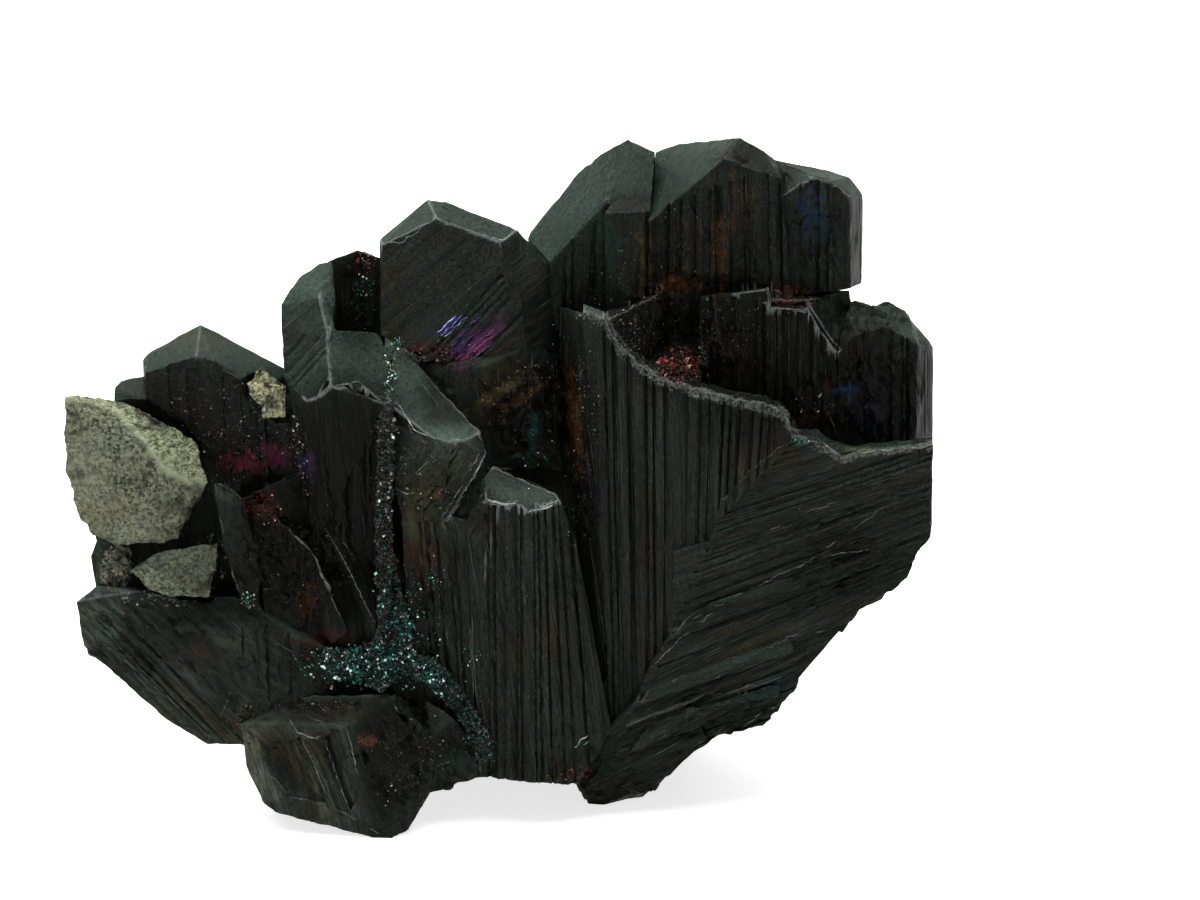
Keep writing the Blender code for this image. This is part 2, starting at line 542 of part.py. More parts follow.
def back_mass():
    """The broken heart of the cluster, and the crystals that stand out of it at the back."""
    heart = roughened("heart", spots(
        (300, 420, 9), (560, 480, 8.5), (560, 640, 7), (400, 700, 6), (300, 690, 6), (760, 470, 7.5),
        (800, 520, 7.0), (760, 640, 7.0), (640, 740, 7.0), (300, 330, 17), (420, 300, 20), (800, 320, 20),
        (860, 420, 18), (820, 520, 18), (420, 640, 22), (640, 620, 24), (260, 560, 16), (700, 680, 18)),
        1.3, 2, 9)
    saddle = hull("saddle", spots((240, 392, 9.5), (300, 370, 9.5), (312, 500, 7.0), (240, 500, 8),
                                  (240, 400, 14), (310, 380, 14), (310, 500, 14)))
    fill = hull("fill", spots((270, 690, 4.2), (432, 690, 5.0), (432, 750, 4.6), (280, 750, 3.6),
                              (280, 700, 8), (432, 700, 9), (432, 740, 8), (290, 740, 6)))
    crystals = (
        ((-4.0, 15.0, 6.0), (-8.0, 26.5, 29.0), 11.5, 8.0, 20, 101, 6),
        ((8.0, 16.0, 5.0), (10.5, 29.5, 32.0), 13.5, 9.5, -12, 102, 7),
        ((14.0, 13.0, 11.0), (21.0, 23.0, 29.0), 9.0, 7.0, 30, 103, 5),
        ((-12.0, 11.0, 8.0), (-18.5, 19.5, 23.0), 9.0, 6.5, -25, 104, 5),
        ((1.0, 15.0, 8.0), (1.5, 30.0, 16.0), 10.0, 7.5, 8, 105, 5),
        ((11.0, 13.0, 9.0), (18.0, 25.0, 17.0), 8.0, 6.0, 40, 106, 4),
        ((-8.0, 11.0, 6.0), (-14.5, 22.0, 12.5), 8.0, 6.0, -30, 107, 4),
        ((6.0, 14.0, 7.0), (9.0, 26.0, 8.5), 7.0, 5.0, 15, 108, 4),
    )
    parts = [heart, saddle, fill] + [gabled("rear", *each) for each in crystals]
    foot = [Vector(p) for p in ((-6, 13, 9), (8, 13, 9), (8, 22, 9), (-5, 22, 9))]
    stand = [Vector(p) for p in ((-3.5, 16, 0), (4.5, 15.5, 0), (5.5, 20, 0), (2, 22.5, 0), (-3, 21, 0))]
    return parts + [hull("rear_foot", foot, stand)]


# ---------------------------------------------------------------- chips of host rock

UPPER_CHIP = spots(
    (66, 396, 6.6), (84, 391, 7.0), (121, 398, 7.2), (144, 403, 7.2), (164, 417, 7.0), (188, 437, 6.6),
    (200, 441, 6.2), (204, 468, 5.2), (214, 482, 4.2), (198, 504, 3.9), (182, 544, 3.8), (150, 549, 3.9),
    (114, 549, 4.4), (90, 540, 5.0), (74, 514, 5.6), (61, 470, 5.8), (60, 438, 6.0),
    (100, 432, 4.8), (150, 440, 4.4), (180, 470, 3.9), (140, 500, 3.2), (105, 490, 4.0),
    (80, 410, 9.0), (150, 415, 9.0), (195, 455, 8.0), (180, 530, 7.0), (95, 530, 7.6), (72, 450, 8.6))
LOWER_CHIP = spots(
    (128, 570, 3.4), (145, 556, 3.2), (160, 549, 3.0), (221, 541, 2.9), (216, 590, 2.4), (212, 600, 2.4),
    (170, 600, 2.4), (146, 590, 2.6), (172, 572, 2.0), (150, 556, 5.4), (215, 550, 5.2), (205, 595, 4.6),
    (140, 585, 4.8))
CRUMB = spots(
    (262, 361, 7.2), (275, 379, 6.8), (283, 386, 6.6), (289, 419, 5.6), (266, 420, 5.4), (253, 400, 5.6),
    (244, 382, 6.2), (251, 372, 6.8), (266, 396, 5.0), (262, 366, 9.0), (286, 392, 9.0), (286, 416, 8.0),
    (252, 396, 8.0))


# ---------------------------------------------------------------- green druse crust

CRUST_SEAM = ((388, 404, 7), (386, 460, 8), (384, 520, 9), (386, 570, 10), (392, 612, 13), (398, 646, 20),
              (374, 668, 22), (342, 664, 17), (322, 656, 9))
CRUST_BRANCH = ((398, 658, 14), (432, 674, 12), (458, 700, 9), (476, 730, 10), (486, 758, 8))
CRUST_THICK = 0.5
CRUST_PITCH = 9.0


def drawn_path(path, pitch):
    """Even stops along a drawn path: (column, row, half width, sideways column, sideways row)."""
    stops = []
    for (c0, r0, w0), (c1, r1, w1) in zip(path, path[1:]):
        run = math.hypot(c1 - c0, r1 - r0)
        steps = max(1, round(run / pitch))
        for i in range(steps):
            t = i / steps
            stops.append((c0 + (c1 - c0) * t, r0 + (r1 - r0) * t, w0 + (w1 - w0) * t))
    stops.append(path[-1])
    turned = []
    for i, (column, row, half) in enumerate(stops):
        before, after = stops[max(i - 1, 0)], stops[min(i + 1, len(stops) - 1)]
        dc, dr = after[0] - before[0], after[1] - before[1]
        length = math.hypot(dc, dr)
        turned.append((column, row, half, -dr / length, dc / length))
    return turned


def clear_of(tree, column, row, gap):
    """The place before a drawn spot that clears the crystals under and around it by the gap."""
    nearest = 1e9
    for ring, count in ((0.0, 1), (3.0, 6), (6.0, 8)):
        for i in range(count):
            angle = 2 * math.pi * i / count
            start = spot(column + ring * math.cos(angle), row + ring * math.sin(angle), -40.0)
            hit = tree.ray_cast(start * MM, INTO_BOARD)[0]
            if hit is not None:
                nearest = min(nearest, hit.dot(INTO_BOARD) / MM)
    start = spot(column, row, 0.0)
    return start + INTO_BOARD * (nearest - gap - start.dot(INTO_BOARD))


def ribbon(name, tree, path, seed):
    """A lumpy ribbon of druse along a drawn path."""
    rng = random.Random(seed)
    across = (-1.0, -0.35, 0.35, 1.0)
    bm = bmesh.new()
    under, over = [], []
    for column, row, half, side_c, side_r in drawn_path(path, CRUST_PITCH):
        half *= rng.uniform(0.82, 1.12)
        low, high = [], []
        for share in across:
            reach = half * share * (1.0 + rng.uniform(-0.08, 0.08))
            place = clear_of(tree, column + side_c * reach, row + side_r * reach, NODE_GAP + 0.05)
            thick = CRUST_THICK * rng.uniform(0.45, 1.0) * (0.45 if abs(share) == 1.0 else 1.0)
            low.append(bm.verts.new(place))
            high.append(bm.verts.new(place - INTO_BOARD * thick))
        under.append(low)
        over.append(high)
    for i in range(len(under) - 1):
        for j in range(len(across) - 1):
            bm.faces.new((under[i][j], under[i][j + 1], under[i + 1][j + 1], under[i + 1][j]))
            bm.faces.new((over[i][j], over[i + 1][j], over[i + 1][j + 1], over[i][j + 1]))
        for j in (0, len(across) - 1):
            bm.faces.new((under[i][j], under[i + 1][j], over[i + 1][j], over[i][j]))
    for i in (0, len(under) - 1):
        for j in range(len(across) - 1):
            bm.faces.new((under[i][j], under[i][j + 1], over[i][j + 1], over[i][j]))
    bmesh.ops.triangulate(bm, faces=bm.faces[:])
    return new_object(name, bm)


def build_crust(cluster):
    tree = BVHTree.FromObject(cluster, bpy.context.evaluated_depsgraph_get())
    seam = ribbon("malachite_crust", tree, CRUST_SEAM, 91)
    boolean(seam, ribbon("branch", tree, CRUST_BRANCH, 92), "UNION")
    return seam


# ---------------------------------------------------------------- the whole specimen

def shells(bm):
    """The separate shells of a mesh, as lists of corners."""
    seen, found = set(), []
    for first in bm.verts:
        if first in seen:
            continue
        seen.add(first)
        shell, waiting = [], [first]
        while waiting:
            vertex = waiting.pop()
            shell.append(vertex)
            for edge in vertex.link_edges:
                other = edge.other_vert(vertex)
                if other not in seen:
                    seen.add(other)
                    waiting.append(other)
        found.append(shell)
    return found


def tidy_faces(whole):
    """Fill the hollows sealed inside, merge the flat pieces of one face and drop what is too thin for one."""
    bm = bmesh.new()
    bm.from_mesh(whole.data)
    inner = sorted(shells(bm), key=len)[:-1]
    bmesh.ops.delete(bm, geom=[vertex for shell in inner for vertex in shell], context="VERTS")
    bmesh.ops.dissolve_limit(bm, angle_limit=math.radians(0.3), verts=bm.verts[:], edges=bm.edges[:])
    bmesh.ops.remove_doubles(bm, verts=bm.verts[:], dist=0.00002)
    bmesh.ops.triangulate(bm, faces=bm.faces[:])
    bm.to_mesh(whole.data)
    bm.free()


def build_chalcocite():
    parts = back_group() + right_group() + plate() + cavity() + front_prism() + central_crystal()
    parts += hooked_crystals() + left_crystal() + blades() + lower_left_mass()
    parts += bottom_crystal() + back_mass()
    whole = parts[0]
    for part in parts[1:]:
        boolean(whole, part, "UNION")
    for corners in (UPPER_CHIP, LOWER_CHIP, CRUMB):
        boolean(whole, hull("seat", grown(corners, NODE_GAP)), "DIFFERENCE")
    whole.name = "chalcocite_cluster"
    tidy_faces(whole)
    return whole


def paint(thing, name, colour, roughness, metallic):
    material = bpy.data.materials.new(name)
    material.use_nodes = True
    shader = material.node_tree.nodes["Principled BSDF"]
    shader.inputs["Base Color"].default_value = colour
    shader.inputs["Roughness"].default_value = roughness
    shader.inputs["Metallic"].default_value = metallic
    material.diffuse_color = colour
    thing.data.materials.clear()
    thing.data.materials.append(material)


def clear():
    for old in list(bpy.data.objects):
        bpy.data.objects.remove(old)


def centre_over_origin(things):
    """Put the middle of the whole specimen's plan over the origin."""
    corners = [vertex.co for thing in things for vertex in thing.data.vertices]
    middle = Vector((0.0, 0.0, 0.0))
    for axis in (0, 1):
        middle[axis] = (min(c[axis] for c in corners) + max(c[axis] for c in corners)) / 2
    for thing in things:
        thing.data.transform(Matrix.Translation(-middle))


def main():
    clear()
    cluster = build_chalcocite()
    druse = build_crust(cluster)
    upper = roughened("matrix_chip_upper", UPPER_CHIP, 0.6, 2, 1)
    lower = roughened("matrix_chip_lower", LOWER_CHIP, 0.35, 2, 2)
    crumb = roughened("matrix_crumb", CRUMB, 0.5, 2, 3)
    paint(cluster, "chalcocite", *CHALCOCITE)
    paint(druse, "malachite_druse", *MALACHITE)
    paint(upper, "host_rock", *HOST_ROCK)
    paint(lower, "host_rock_lower", *HOST_ROCK)
    paint(crumb, "pale_rock", *PALE_ROCK)
    centre_over_origin([cluster, druse, upper, lower, crumb])


main()
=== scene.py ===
import math

import bpy
import bmesh
import numpy as np
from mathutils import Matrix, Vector
from mathutils.bvhtree import BVHTree
from mathutils.kdtree import KDTree


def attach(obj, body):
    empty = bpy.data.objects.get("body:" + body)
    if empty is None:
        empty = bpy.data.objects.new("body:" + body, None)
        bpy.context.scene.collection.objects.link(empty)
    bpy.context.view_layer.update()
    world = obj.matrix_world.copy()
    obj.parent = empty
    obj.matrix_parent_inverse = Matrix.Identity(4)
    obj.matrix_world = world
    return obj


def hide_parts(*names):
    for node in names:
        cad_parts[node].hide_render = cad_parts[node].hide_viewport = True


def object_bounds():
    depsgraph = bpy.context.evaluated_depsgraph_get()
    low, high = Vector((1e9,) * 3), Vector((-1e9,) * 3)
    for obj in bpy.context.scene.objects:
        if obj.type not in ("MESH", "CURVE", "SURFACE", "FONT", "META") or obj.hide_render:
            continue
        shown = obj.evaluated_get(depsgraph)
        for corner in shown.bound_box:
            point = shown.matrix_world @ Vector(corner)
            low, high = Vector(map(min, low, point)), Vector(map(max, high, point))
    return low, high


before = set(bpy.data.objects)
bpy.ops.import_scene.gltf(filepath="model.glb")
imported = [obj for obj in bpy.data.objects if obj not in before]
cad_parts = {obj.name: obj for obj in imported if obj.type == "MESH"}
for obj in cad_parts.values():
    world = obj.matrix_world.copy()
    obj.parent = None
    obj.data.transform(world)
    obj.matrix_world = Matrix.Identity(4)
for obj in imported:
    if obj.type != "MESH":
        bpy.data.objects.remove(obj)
cad_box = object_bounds()

# The crystals are drawn on a board that leans back by LEAN, in columns and rows of 1/15 mm and a depth in mm.
STEP, LEAN = 1.0 / 15.0, math.radians(22.0)
LS, LC = math.sin(LEAN), math.cos(LEAN)
SHIFT_X, SHIFT_Y = -0.0605, 16.5228
INTO = np.array([0.0, LC, -LS])


def drawn(p):
    """Columns, rows and depths of places in mm."""
    x, y = p[:, 0] + SHIFT_X, p[:, 1] + SHIFT_Y
    return 500 + x / STEP, 840 - (p[:, 2] * LC + y * LS) / STEP, y


def placed(column, row, depth):
    """The place in mm of a drawn spot."""
    height = ((840 - row) * STEP - depth * LS) / LC
    return np.array([(column - 500) * STEP - SHIFT_X, depth - SHIFT_Y, height])


# ------------------------------------------------------------------ noise

def hashed(i, seed):
    """A number from 0 to 1 for each whole number, which looks random and is the same in every run."""
    with np.errstate(over="ignore"):
        h = (np.asarray(i).astype(np.int64) * 374761393 + int(seed) * 668265263 + 974634777) & 0xFFFFFFFF
        h = ((h ^ (h >> 13)) * 1274126177) & 0xFFFFFFFF
        h = ((h ^ (h >> 16)) * 2246822519) & 0xFFFFFFFF
    return ((h ^ (h >> 15)) & 0xFFFFFF) / float(0x1000000)


def cell_key(cell):
    """One whole number for each cell of space."""
    x, y, z = cell.T
    return x * 73856093 ^ y * 19349663 ^ z * 83492791


def noise3(p, seed=0):
    """Smooth value noise of places, from -1 to 1."""
    base = np.floor(p).astype(np.int64)
    f = p - base
    f = f * f * (3 - 2 * f)
    total = np.zeros(len(p))
    for corner in np.ndindex(2, 2, 2):
        share = np.where(corner, f, 1 - f)
        total += share[:, 0] * share[:, 1] * share[:, 2] * hashed(cell_key(base + corner), seed)
    return total * 2 - 1


def fbm(p, scale, octaves, seed=0):
    """Noise with finer and fainter noise on top."""
    total, size = np.zeros(len(p)), 1.0
    for i in range(octaves):
        total += size * noise3(p / scale + 17.3 * i, seed + i)
        scale, size = scale * 0.5, size * 0.5
    return total


def facets(p, scale, seed=0):
    """Broken, blocky relief from about -1 to 1: each cell of space is a small plane with its own tilt."""
    x = p / scale
    base = np.floor(x).astype(np.int64)
    best, level = np.full(len(p), 1e9), np.zeros(len(p))
    for step in np.ndindex(3, 3, 3):
        cell = base + step - 1
        key = cell_key(cell)
        away = x - (cell + np.stack([hashed(key, seed + k) for k in (1, 2, 3)], 1))
        dist = (away ** 2).sum(1)
        tilt = np.stack([hashed(key, seed + k) - 0.5 for k in (4, 5, 6)], 1)
        here = (hashed(key, seed + 7) - 0.5) + 1.6 * (away * tilt).sum(1)
        near = dist < best
        best, level = np.where(near, dist, best), np.where(near, here, level)
    return level


# ------------------------------------------------------------------ splitting a mesh along growth lines

def split(V, T, G, cut):
    """Split edges at cut, a share along each triangle's three edges or nan, and keep the mesh whole."""
    n = len(V)
    ends = np.stack([T, np.roll(T, -1, axis=1)], axis=2)
    lo, hi = ends.min(axis=2), ends.max(axis=2)
    share = np.where(ends[:, :, 0] < ends[:, :, 1], cut, 1 - cut)
    keys, inverse = np.unique((lo * n + hi).ravel(), return_inverse=True)
    inverse = inverse.reshape(T.shape)
    chosen = np.full(len(keys), np.nan)
    for column in range(3):
        good = ~np.isnan(share[:, column])
        chosen[inverse[good, column]] = share[good, column]
    marked = np.flatnonzero(~np.isnan(chosen))
    number = np.full(len(keys), -1)
    number[marked] = n + np.arange(len(marked))
    a, b = keys[marked] // n, keys[marked] % n
    t = chosen[marked][:, None]
    V = np.concatenate([V, V[a] * (1 - t) + V[b] * t])
    M = number[inverse]
    count = (M >= 0).sum(axis=1)
    out_T, out_G = [T[count == 0]], [G[count == 0]]

    def turned(rows, shift):
        """The corners and the cut points of some triangles, started shift corners later."""
        take = (np.arange(3)[None, :] + shift[:, None]) % 3
        return np.take_along_axis(T[rows], take, 1), np.take_along_axis(M[rows], take, 1)

    rows = np.flatnonzero(count == 1)
    v, m = turned(rows, (M[rows] >= 0).argmax(axis=1))
    out_T += [np.stack([v[:, 0], m[:, 0], v[:, 2]], 1), np.stack([m[:, 0], v[:, 1], v[:, 2]], 1)]
    out_G += [G[rows]] * 2
    rows = np.flatnonzero(count == 2)
    v, m = turned(rows, ((M[rows] < 0).argmax(axis=1) + 1) % 3)
    out_T.append(np.stack([m[:, 0], v[:, 1], m[:, 1]], 1))
    near = np.linalg.norm(V[v[:, 0]] - V[m[:, 1]], axis=1) < np.linalg.norm(V[m[:, 0]] - V[v[:, 2]], axis=1)
    out_T.append(np.stack([v[:, 0], m[:, 0], np.where(near, m[:, 1], v[:, 2])], 1))
    out_T.append(np.stack([np.where(near, v[:, 0], m[:, 0]), m[:, 1], v[:, 2]], 1))
    out_G += [G[rows]] * 3
    rows = np.flatnonzero(count == 3)
    v, m = T[rows], M[rows]
    out_T += [np.stack([v[:, 0], m[:, 0], m[:, 2]], 1), np.stack([m[:, 0], v[:, 1], m[:, 1]], 1),
              np.stack([m[:, 2], m[:, 1], v[:, 2]], 1), m]
    out_G += [G[rows]] * 4
    return V, np.concatenate(out_T), np.concatenate(out_G)


def crossings(V, T, G, frames, sizes):
    """Where each edge of the mesh meets the grid lines of the faces beside it: {edge: shares along it}."""
    found = {}
    for axis in (0, 1):
        c = np.einsum("ijk,ik->ij", V[T], frames[axis][G])
        step = sizes[axis][G]
        for k in range(3):
            one, two = T[:, k], T[:, (k + 1) % 3]
            swap = one > two
            a, b = np.where(swap, two, one), np.where(swap, one, two)
            ca, cb = c[:, k], c[:, (k + 1) % 3]
            ca, cb = np.where(swap, cb, ca), np.where(swap, ca, cb)
            low, high = np.minimum(ca, cb), np.maximum(ca, cb)
            first = np.floor(low / step + 1e-5) + 1
            last = np.ceil(high / step - 1e-5) - 1
            for row in np.flatnonzero((first <= last) & np.isfinite(step)):
                lines = np.arange(first[row], last[row] + 1) * step[row]
                found.setdefault((a[row], b[row]), []).extend((lines - ca[row]) / (cb[row] - ca[row]))
    return found


def cut_polygon(poly, axis, value, where, made, points):
    """The parts of a convex polygon on each side of a grid line."""
    side = [0 if abs(where[v][axis] - value) < 1e-5 else (1 if where[v][axis] > value else -1) for v in poly]
    if min(side) >= 0:
        return None, poly
    if max(side) <= 0:
        return poly, None
    below, above = [], []
    for k, v in enumerate(poly):
        if side[k] <= 0:
            below.append(v)
        if side[k] >= 0:
            above.append(v)
        w, other = poly[(k + 1) % len(poly)], side[(k + 1) % len(poly)]
        if side[k] * other < 0:
            key = (min(v, w), max(v, w), axis, value)
            if key not in made:
                share = (value - where[v][axis]) / (where[w][axis] - where[v][axis])
                made[key] = len(points)
                points.append([x + (y - x) * share for x, y in zip(points[v], points[w])])
                where[made[key]] = [x + (y - x) * share for x, y in zip(where[v], where[w])]
            below.append(made[key])
            above.append(made[key])
    return below, above


def fan(poly, where):
    """Triangles of a convex polygon that may have corners along its straight sides."""
    if len(poly) == 3:
        return [poly]
    best, apex = -1.0, 0
    for k in range(len(poly)):
        x0, y0 = where[poly[k]]
        least = 1e9
        for m in range(1, len(poly) - 1):
            x1, y1 = where[poly[(k + m) % len(poly)]]
            x2, y2 = where[poly[(k + m + 1) % len(poly)]]
            area = abs((x1 - x0) * (y2 - y0) - (x2 - x0) * (y1 - y0))
            long = max((x1 - x0) ** 2 + (y1 - y0) ** 2, (x2 - x0) ** 2 + (y2 - y0) ** 2)
            least = min(least, area / (long + 1e-9))
        if least > best:
            best, apex = least, k
    return [[poly[apex], poly[(apex + m) % len(poly)], poly[(apex + m + 1) % len(poly)]]
            for m in range(1, len(poly) - 1)]


def gridded(V, T, G, across, along, pitch, length):
    """Cut every flat face along its own grid, pitch apart across the growth lines and length along them."""
    found = crossings(V, T, G, (across, along), (pitch, length))
    points, on_edge = V.tolist(), {}
    for (a, b), shares in found.items():
        ids, last = [], 0.0
        reach = np.linalg.norm(V[a] - V[b])
        for s in sorted(shares):
            if (s - last) * reach > 1e-4 and (1 - s) * reach > 1e-4:
                ids.append(len(points))
                points.append((V[a] * (1 - s) + V[b] * s).tolist())
                last = s
        on_edge[(a, b)] = ids
    out_T, out_G = [], []
    for row in range(len(T)):
        g = G[row]
        poly = []
        for k in range(3):
            v, w = int(T[row, k]), int(T[row, (k + 1) % 3])
            ids = on_edge.get((min(v, w), max(v, w)), [])
            poly += [v] + (ids if v < w else ids[::-1])
        place = np.array([points[v] for v in poly])
        q, t = place @ across[g], place @ along[g]
        where = {v: [q[k], t[k]] for k, v in enumerate(poly)}
        made = {}
        pieces = [poly]
        for axis, step in ((0, pitch[g]), (1, length[g])):
            cut = []
            for piece in pieces:
                if not np.isfinite(step):
                    cut.append(piece)
                    continue
                values = [where[v][axis] for v in piece]
                rest = piece
                for line in range(int(math.floor(min(values) / step + 1e-5)) + 1,
                                  int(math.ceil(max(values) / step - 1e-5))):
                    below, rest = cut_polygon(rest, axis, line * step, where, made, points)
                    if below and len(below) > 2:
                        cut.append(below)
                    if not rest:
                        break
                if rest and len(rest) > 2:
                    cut.append(rest)
            pieces = cut
        for piece in pieces:
            triangles = fan(piece, where)
            out_T += triangles
            out_G += [g] * len(triangles)
    return np.array(points), np.array(out_T), np.array(out_G)


def merged(V, T, G, dist):
    """The mesh with corners closer than dist pulled together, and the slivers between them gone."""
    mesh = bpy.data.meshes.new("merging")
    mesh.from_pydata(V.tolist(), [], T.tolist())
    bm = bmesh.new()
    bm.from_mesh(mesh)
    bpy.data.meshes.remove(mesh)
    layer = bm.faces.layers.int.new("face")
    bm.faces.ensure_lookup_table()
    for face, g in zip(bm.faces, G):
        face[layer] = int(g)
    bmesh.ops.remove_doubles(bm, verts=bm.verts[:], dist=dist)
    bm.verts.index_update()
    V = np.array([v.co for v in bm.verts])
    T = np.array([[v.index for v in f.verts] for f in bm.faces])
    G = np.array([f[layer] for f in bm.faces])
    bm.free()
    return V, T, G


def shorten(V, T, G, limit):
    """Halve edges longer than their face allows."""
    for _ in range(12):
        edge = np.linalg.norm(V[T] - V[np.roll(T, -1, axis=1)], axis=2)
        cut = np.where(edge > limit[G][:, None], 0.5, np.nan)
        if np.isnan(cut).all():
            break
        V, T, G = split(V, T, G, cut)
    return V, T, G


def read_node(name):
    """A CAD node's corners in mm and its triangles, with the doubled corners merged."""
    bm = bmesh.new()
    bm.from_mesh(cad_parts[name].data)
    bmesh.ops.remove_doubles(bm, verts=bm.verts[:], dist=1e-7)
    bmesh.ops.triangulate(bm, faces=bm.faces[:])
    V = np.array([v.co for v in bm.verts]) * 1000.0
    bm.verts.index_update()
    T = np.array([[v.index for v in f.verts] for f in bm.faces])
    bm.free()
    return V, T


def normals_of(V, T):
    """The normals and the areas of triangles."""
    n = np.cross(V[T[:, 1]] - V[T[:, 0]], V[T[:, 2]] - V[T[:, 0]])
    size = np.linalg.norm(n, axis=1)
    return n / np.maximum(size, 1e-12)[:, None], size / 2


def edge_table(V, T):
    """Pairs of triangles that share an edge: (corner a, corner b, triangle, other triangle)."""
    ends = np.stack([T, np.roll(T, -1, axis=1)], axis=2).reshape(-1, 2)
    key = ends.min(axis=1) * len(V) + ends.max(axis=1)
    order = np.argsort(key, kind="stable")
    same = np.flatnonzero(key[order][:-1] == key[order][1:])
    one, two = order[same], order[same + 1]
    return ends[one, 0], ends[one, 1], one // 3, two // 3


def coplanar(V, T, angle=1.5):
    """A group number for each triangle: connected triangles of one flat face share it."""
    n, _ = normals_of(V, T)
    _, _, t0, t1 = edge_table(V, T)
    flat = (n[t0] * n[t1]).sum(axis=1) > math.cos(math.radians(angle))
    parent = np.arange(len(T))

    def root(i):
        """The triangle that stands for the group of triangle i."""
        while parent[i] != i:
            parent[i] = parent[parent[i]]
            i = parent[i]
        return i

    for i, j in zip(t0[flat], t1[flat]):
        parent[root(i)] = root(j)
    roots = np.array([root(i) for i in range(len(T))])
    return np.unique(roots, return_inverse=True)[1]


def kd_distance(points, targets, cap):
    """How far each point is from the nearest target, at most cap."""
    tree = KDTree(len(targets))
    for i, target in enumerate(targets):
        tree.insert(target, i)
    tree.balance()
    found = [tree.find(point)[2] for point in points]
    return np.minimum(np.array([cap if away is None else away for away in found]), cap)


def samples_on(V, a, b, step):
    """Evenly spaced places on edges."""
    length = np.linalg.norm(V[a] - V[b], axis=1)
    count = np.maximum(1, np.ceil(length / step).astype(int))
    which = np.repeat(np.arange(len(a)), count)
    start = np.concatenate([[0], np.cumsum(count)[:-1]])
    share = (np.arange(len(which)) - start[which] + 0.5) / count[which]
    return V[a[which]] * (1 - share[:, None]) + V[b[which]] * share[:, None]


def summed(index, vectors, count):
    """The sum of the vectors that share an index, for each index below count."""
    return np.stack([np.bincount(index, vectors[:, k], minlength=count) for k in range(3)], 1)


def unit(vectors):
    """The vectors at length 1."""
    return vectors / np.maximum(np.linalg.norm(vectors, axis=1), 1e-9)[:, None]


def outward(V, T):
    """The mean direction out of the surface at each corner."""
    n, area = normals_of(V, T)
    return unit(summed(T.ravel(), np.repeat(n * area[:, None], 3, axis=0), len(V)))


def topness(normal):
    """How far a face counts as a top: 0 for an upright face, 1 for one that looks well upwards."""
    return np.clip((normal[..., 2] - 0.25) / 0.45, 0, 1)


def inside_cad(V):
    """Places in mm, held inside the CAD's box."""
    low, high = (np.array(corner) * 1000 for corner in cad_box)
    return np.clip(V, low, high)


def make_object(name, V, T):
    """A flat-shaded object in the scene, from corners in mm and triangles."""
    mesh = bpy.data.meshes.new(name)
    mesh.vertices.add(len(V))
    mesh.vertices.foreach_set("co", (V / 1000.0).astype(np.float32).ravel())
    mesh.loops.add(len(T) * 3)
    mesh.loops.foreach_set("vertex_index", T.astype(np.int32).ravel())
    mesh.polygons.add(len(T))
    mesh.polygons.foreach_set("loop_start", np.arange(0, len(T) * 3, 3, dtype=np.int32))
    mesh.polygons.foreach_set("use_smooth", np.zeros(len(T), bool))
    mesh.update(calc_edges=True)
    mesh.validate()
    made = bpy.data.objects.new(name, mesh)
    bpy.context.scene.collection.objects.link(made)
    return made


def number_layer(thing, name, values):
    """A number on each corner of a mesh, for its material to read."""
    layer = thing.data.attributes.new(name, "FLOAT", "POINT")
    layer.data.foreach_set("value", np.asarray(values, np.float32))


def colour_layer(thing, name, values):
    """A colour on each corner of a mesh, for its material to read."""
    layer = thing.data.attributes.new(name, "FLOAT_COLOR", "POINT")
    rgba = np.ones((len(values), 4), np.float32)
    rgba[:, :values.shape[1]] = values
    layer.data.foreach_set("color", rgba.ravel())


# ------------------------------------------------------------------ the growth lines of each face

UP = np.array([0.0, LS, LC])
# Drawn zones reach this deep, in mm. What lies deeper belongs to the back of the specimen.
FRONT = 17
# Where a face's middle lies, as drawn: left, right, top, bottom, then the lines' run (columns, rows down),
# the lines' pitch and height in mm, and the roughness in mm.
FACES = (
    (381, 522, 200, 262, 70, -34, 0.40, 0.012, 0.015),   # the tall pointed crystal, its bevels
    (381, 560, 262, 365, 70, -58, 0.24, 0.022, 0.00),    # its front, with slanting ridges below
    (436, 500, 365, 425, 10, 100, 0.24, 0.03, 0.02),
    (281, 346, 255, 400, 40, -34, 0.22, 0.022, 0.02),    # hooked crystal: the curved left face
    (333, 445, 325, 405, 46, 60, 0.34, 0.02, 0.03),      # its light tops
    (300, 392, 395, 640, 13, 100, 0.20, 0.04, 0.02),     # its striated front
    (388, 490, 385, 455, 60, 42, 0.34, 0.02, 0.03),      # the leaf's light top
    (388, 490, 440, 535, -42, 73, 0.20, 0.06, 0.03),     # the leaf's slanting ridges
    (395, 470, 520, 790, 13, 100, 0.22, 0.04, 0.03),
    (455, 612, 495, 790, 15, 100, 0.17, 0.024, 0.00),    # front prism
    (560, 700, 320, 800, 3, 100, 0.17, 0.026, 0.00),     # plate, its upright part
    (612, 840, 285, 440, 1, 100, 0.20, 0.05, 0.02),      # the wall behind it
    (527, 612, 136, 262, 50, -72, 0.40, 0.004, 0.030),   # back group, left bevels
    (590, 760, 136, 225, 20, -70, 0.40, 0.004, 0.030),
    (540, 870, 136, 310, 1, 100, 0.24, 0.014, 0.03),     # its dark fronts
    (760, 940, 295, 445, 1, 100, 0.28, 0.018, 0.03),     # small right crystal
    (110, 300, 320, 520, 8, 100, 0.30, 0.02, 0.03),      # left crystal
    (205, 370, 470, 600, 44, 80, 0.24, 0.035, 0.04),     # blades
    (70, 345, 585, 750, 100, 92, 0.22, 0.08, 0.04),      # lower left mass
    (240, 500, 690, 842, 34, 100, 0.22, 0.045, 0.03),    # bottom crystal
    (555, 690, 770, 815, 80, -30, 0.26, 0.05, 0.06),     # foot
)
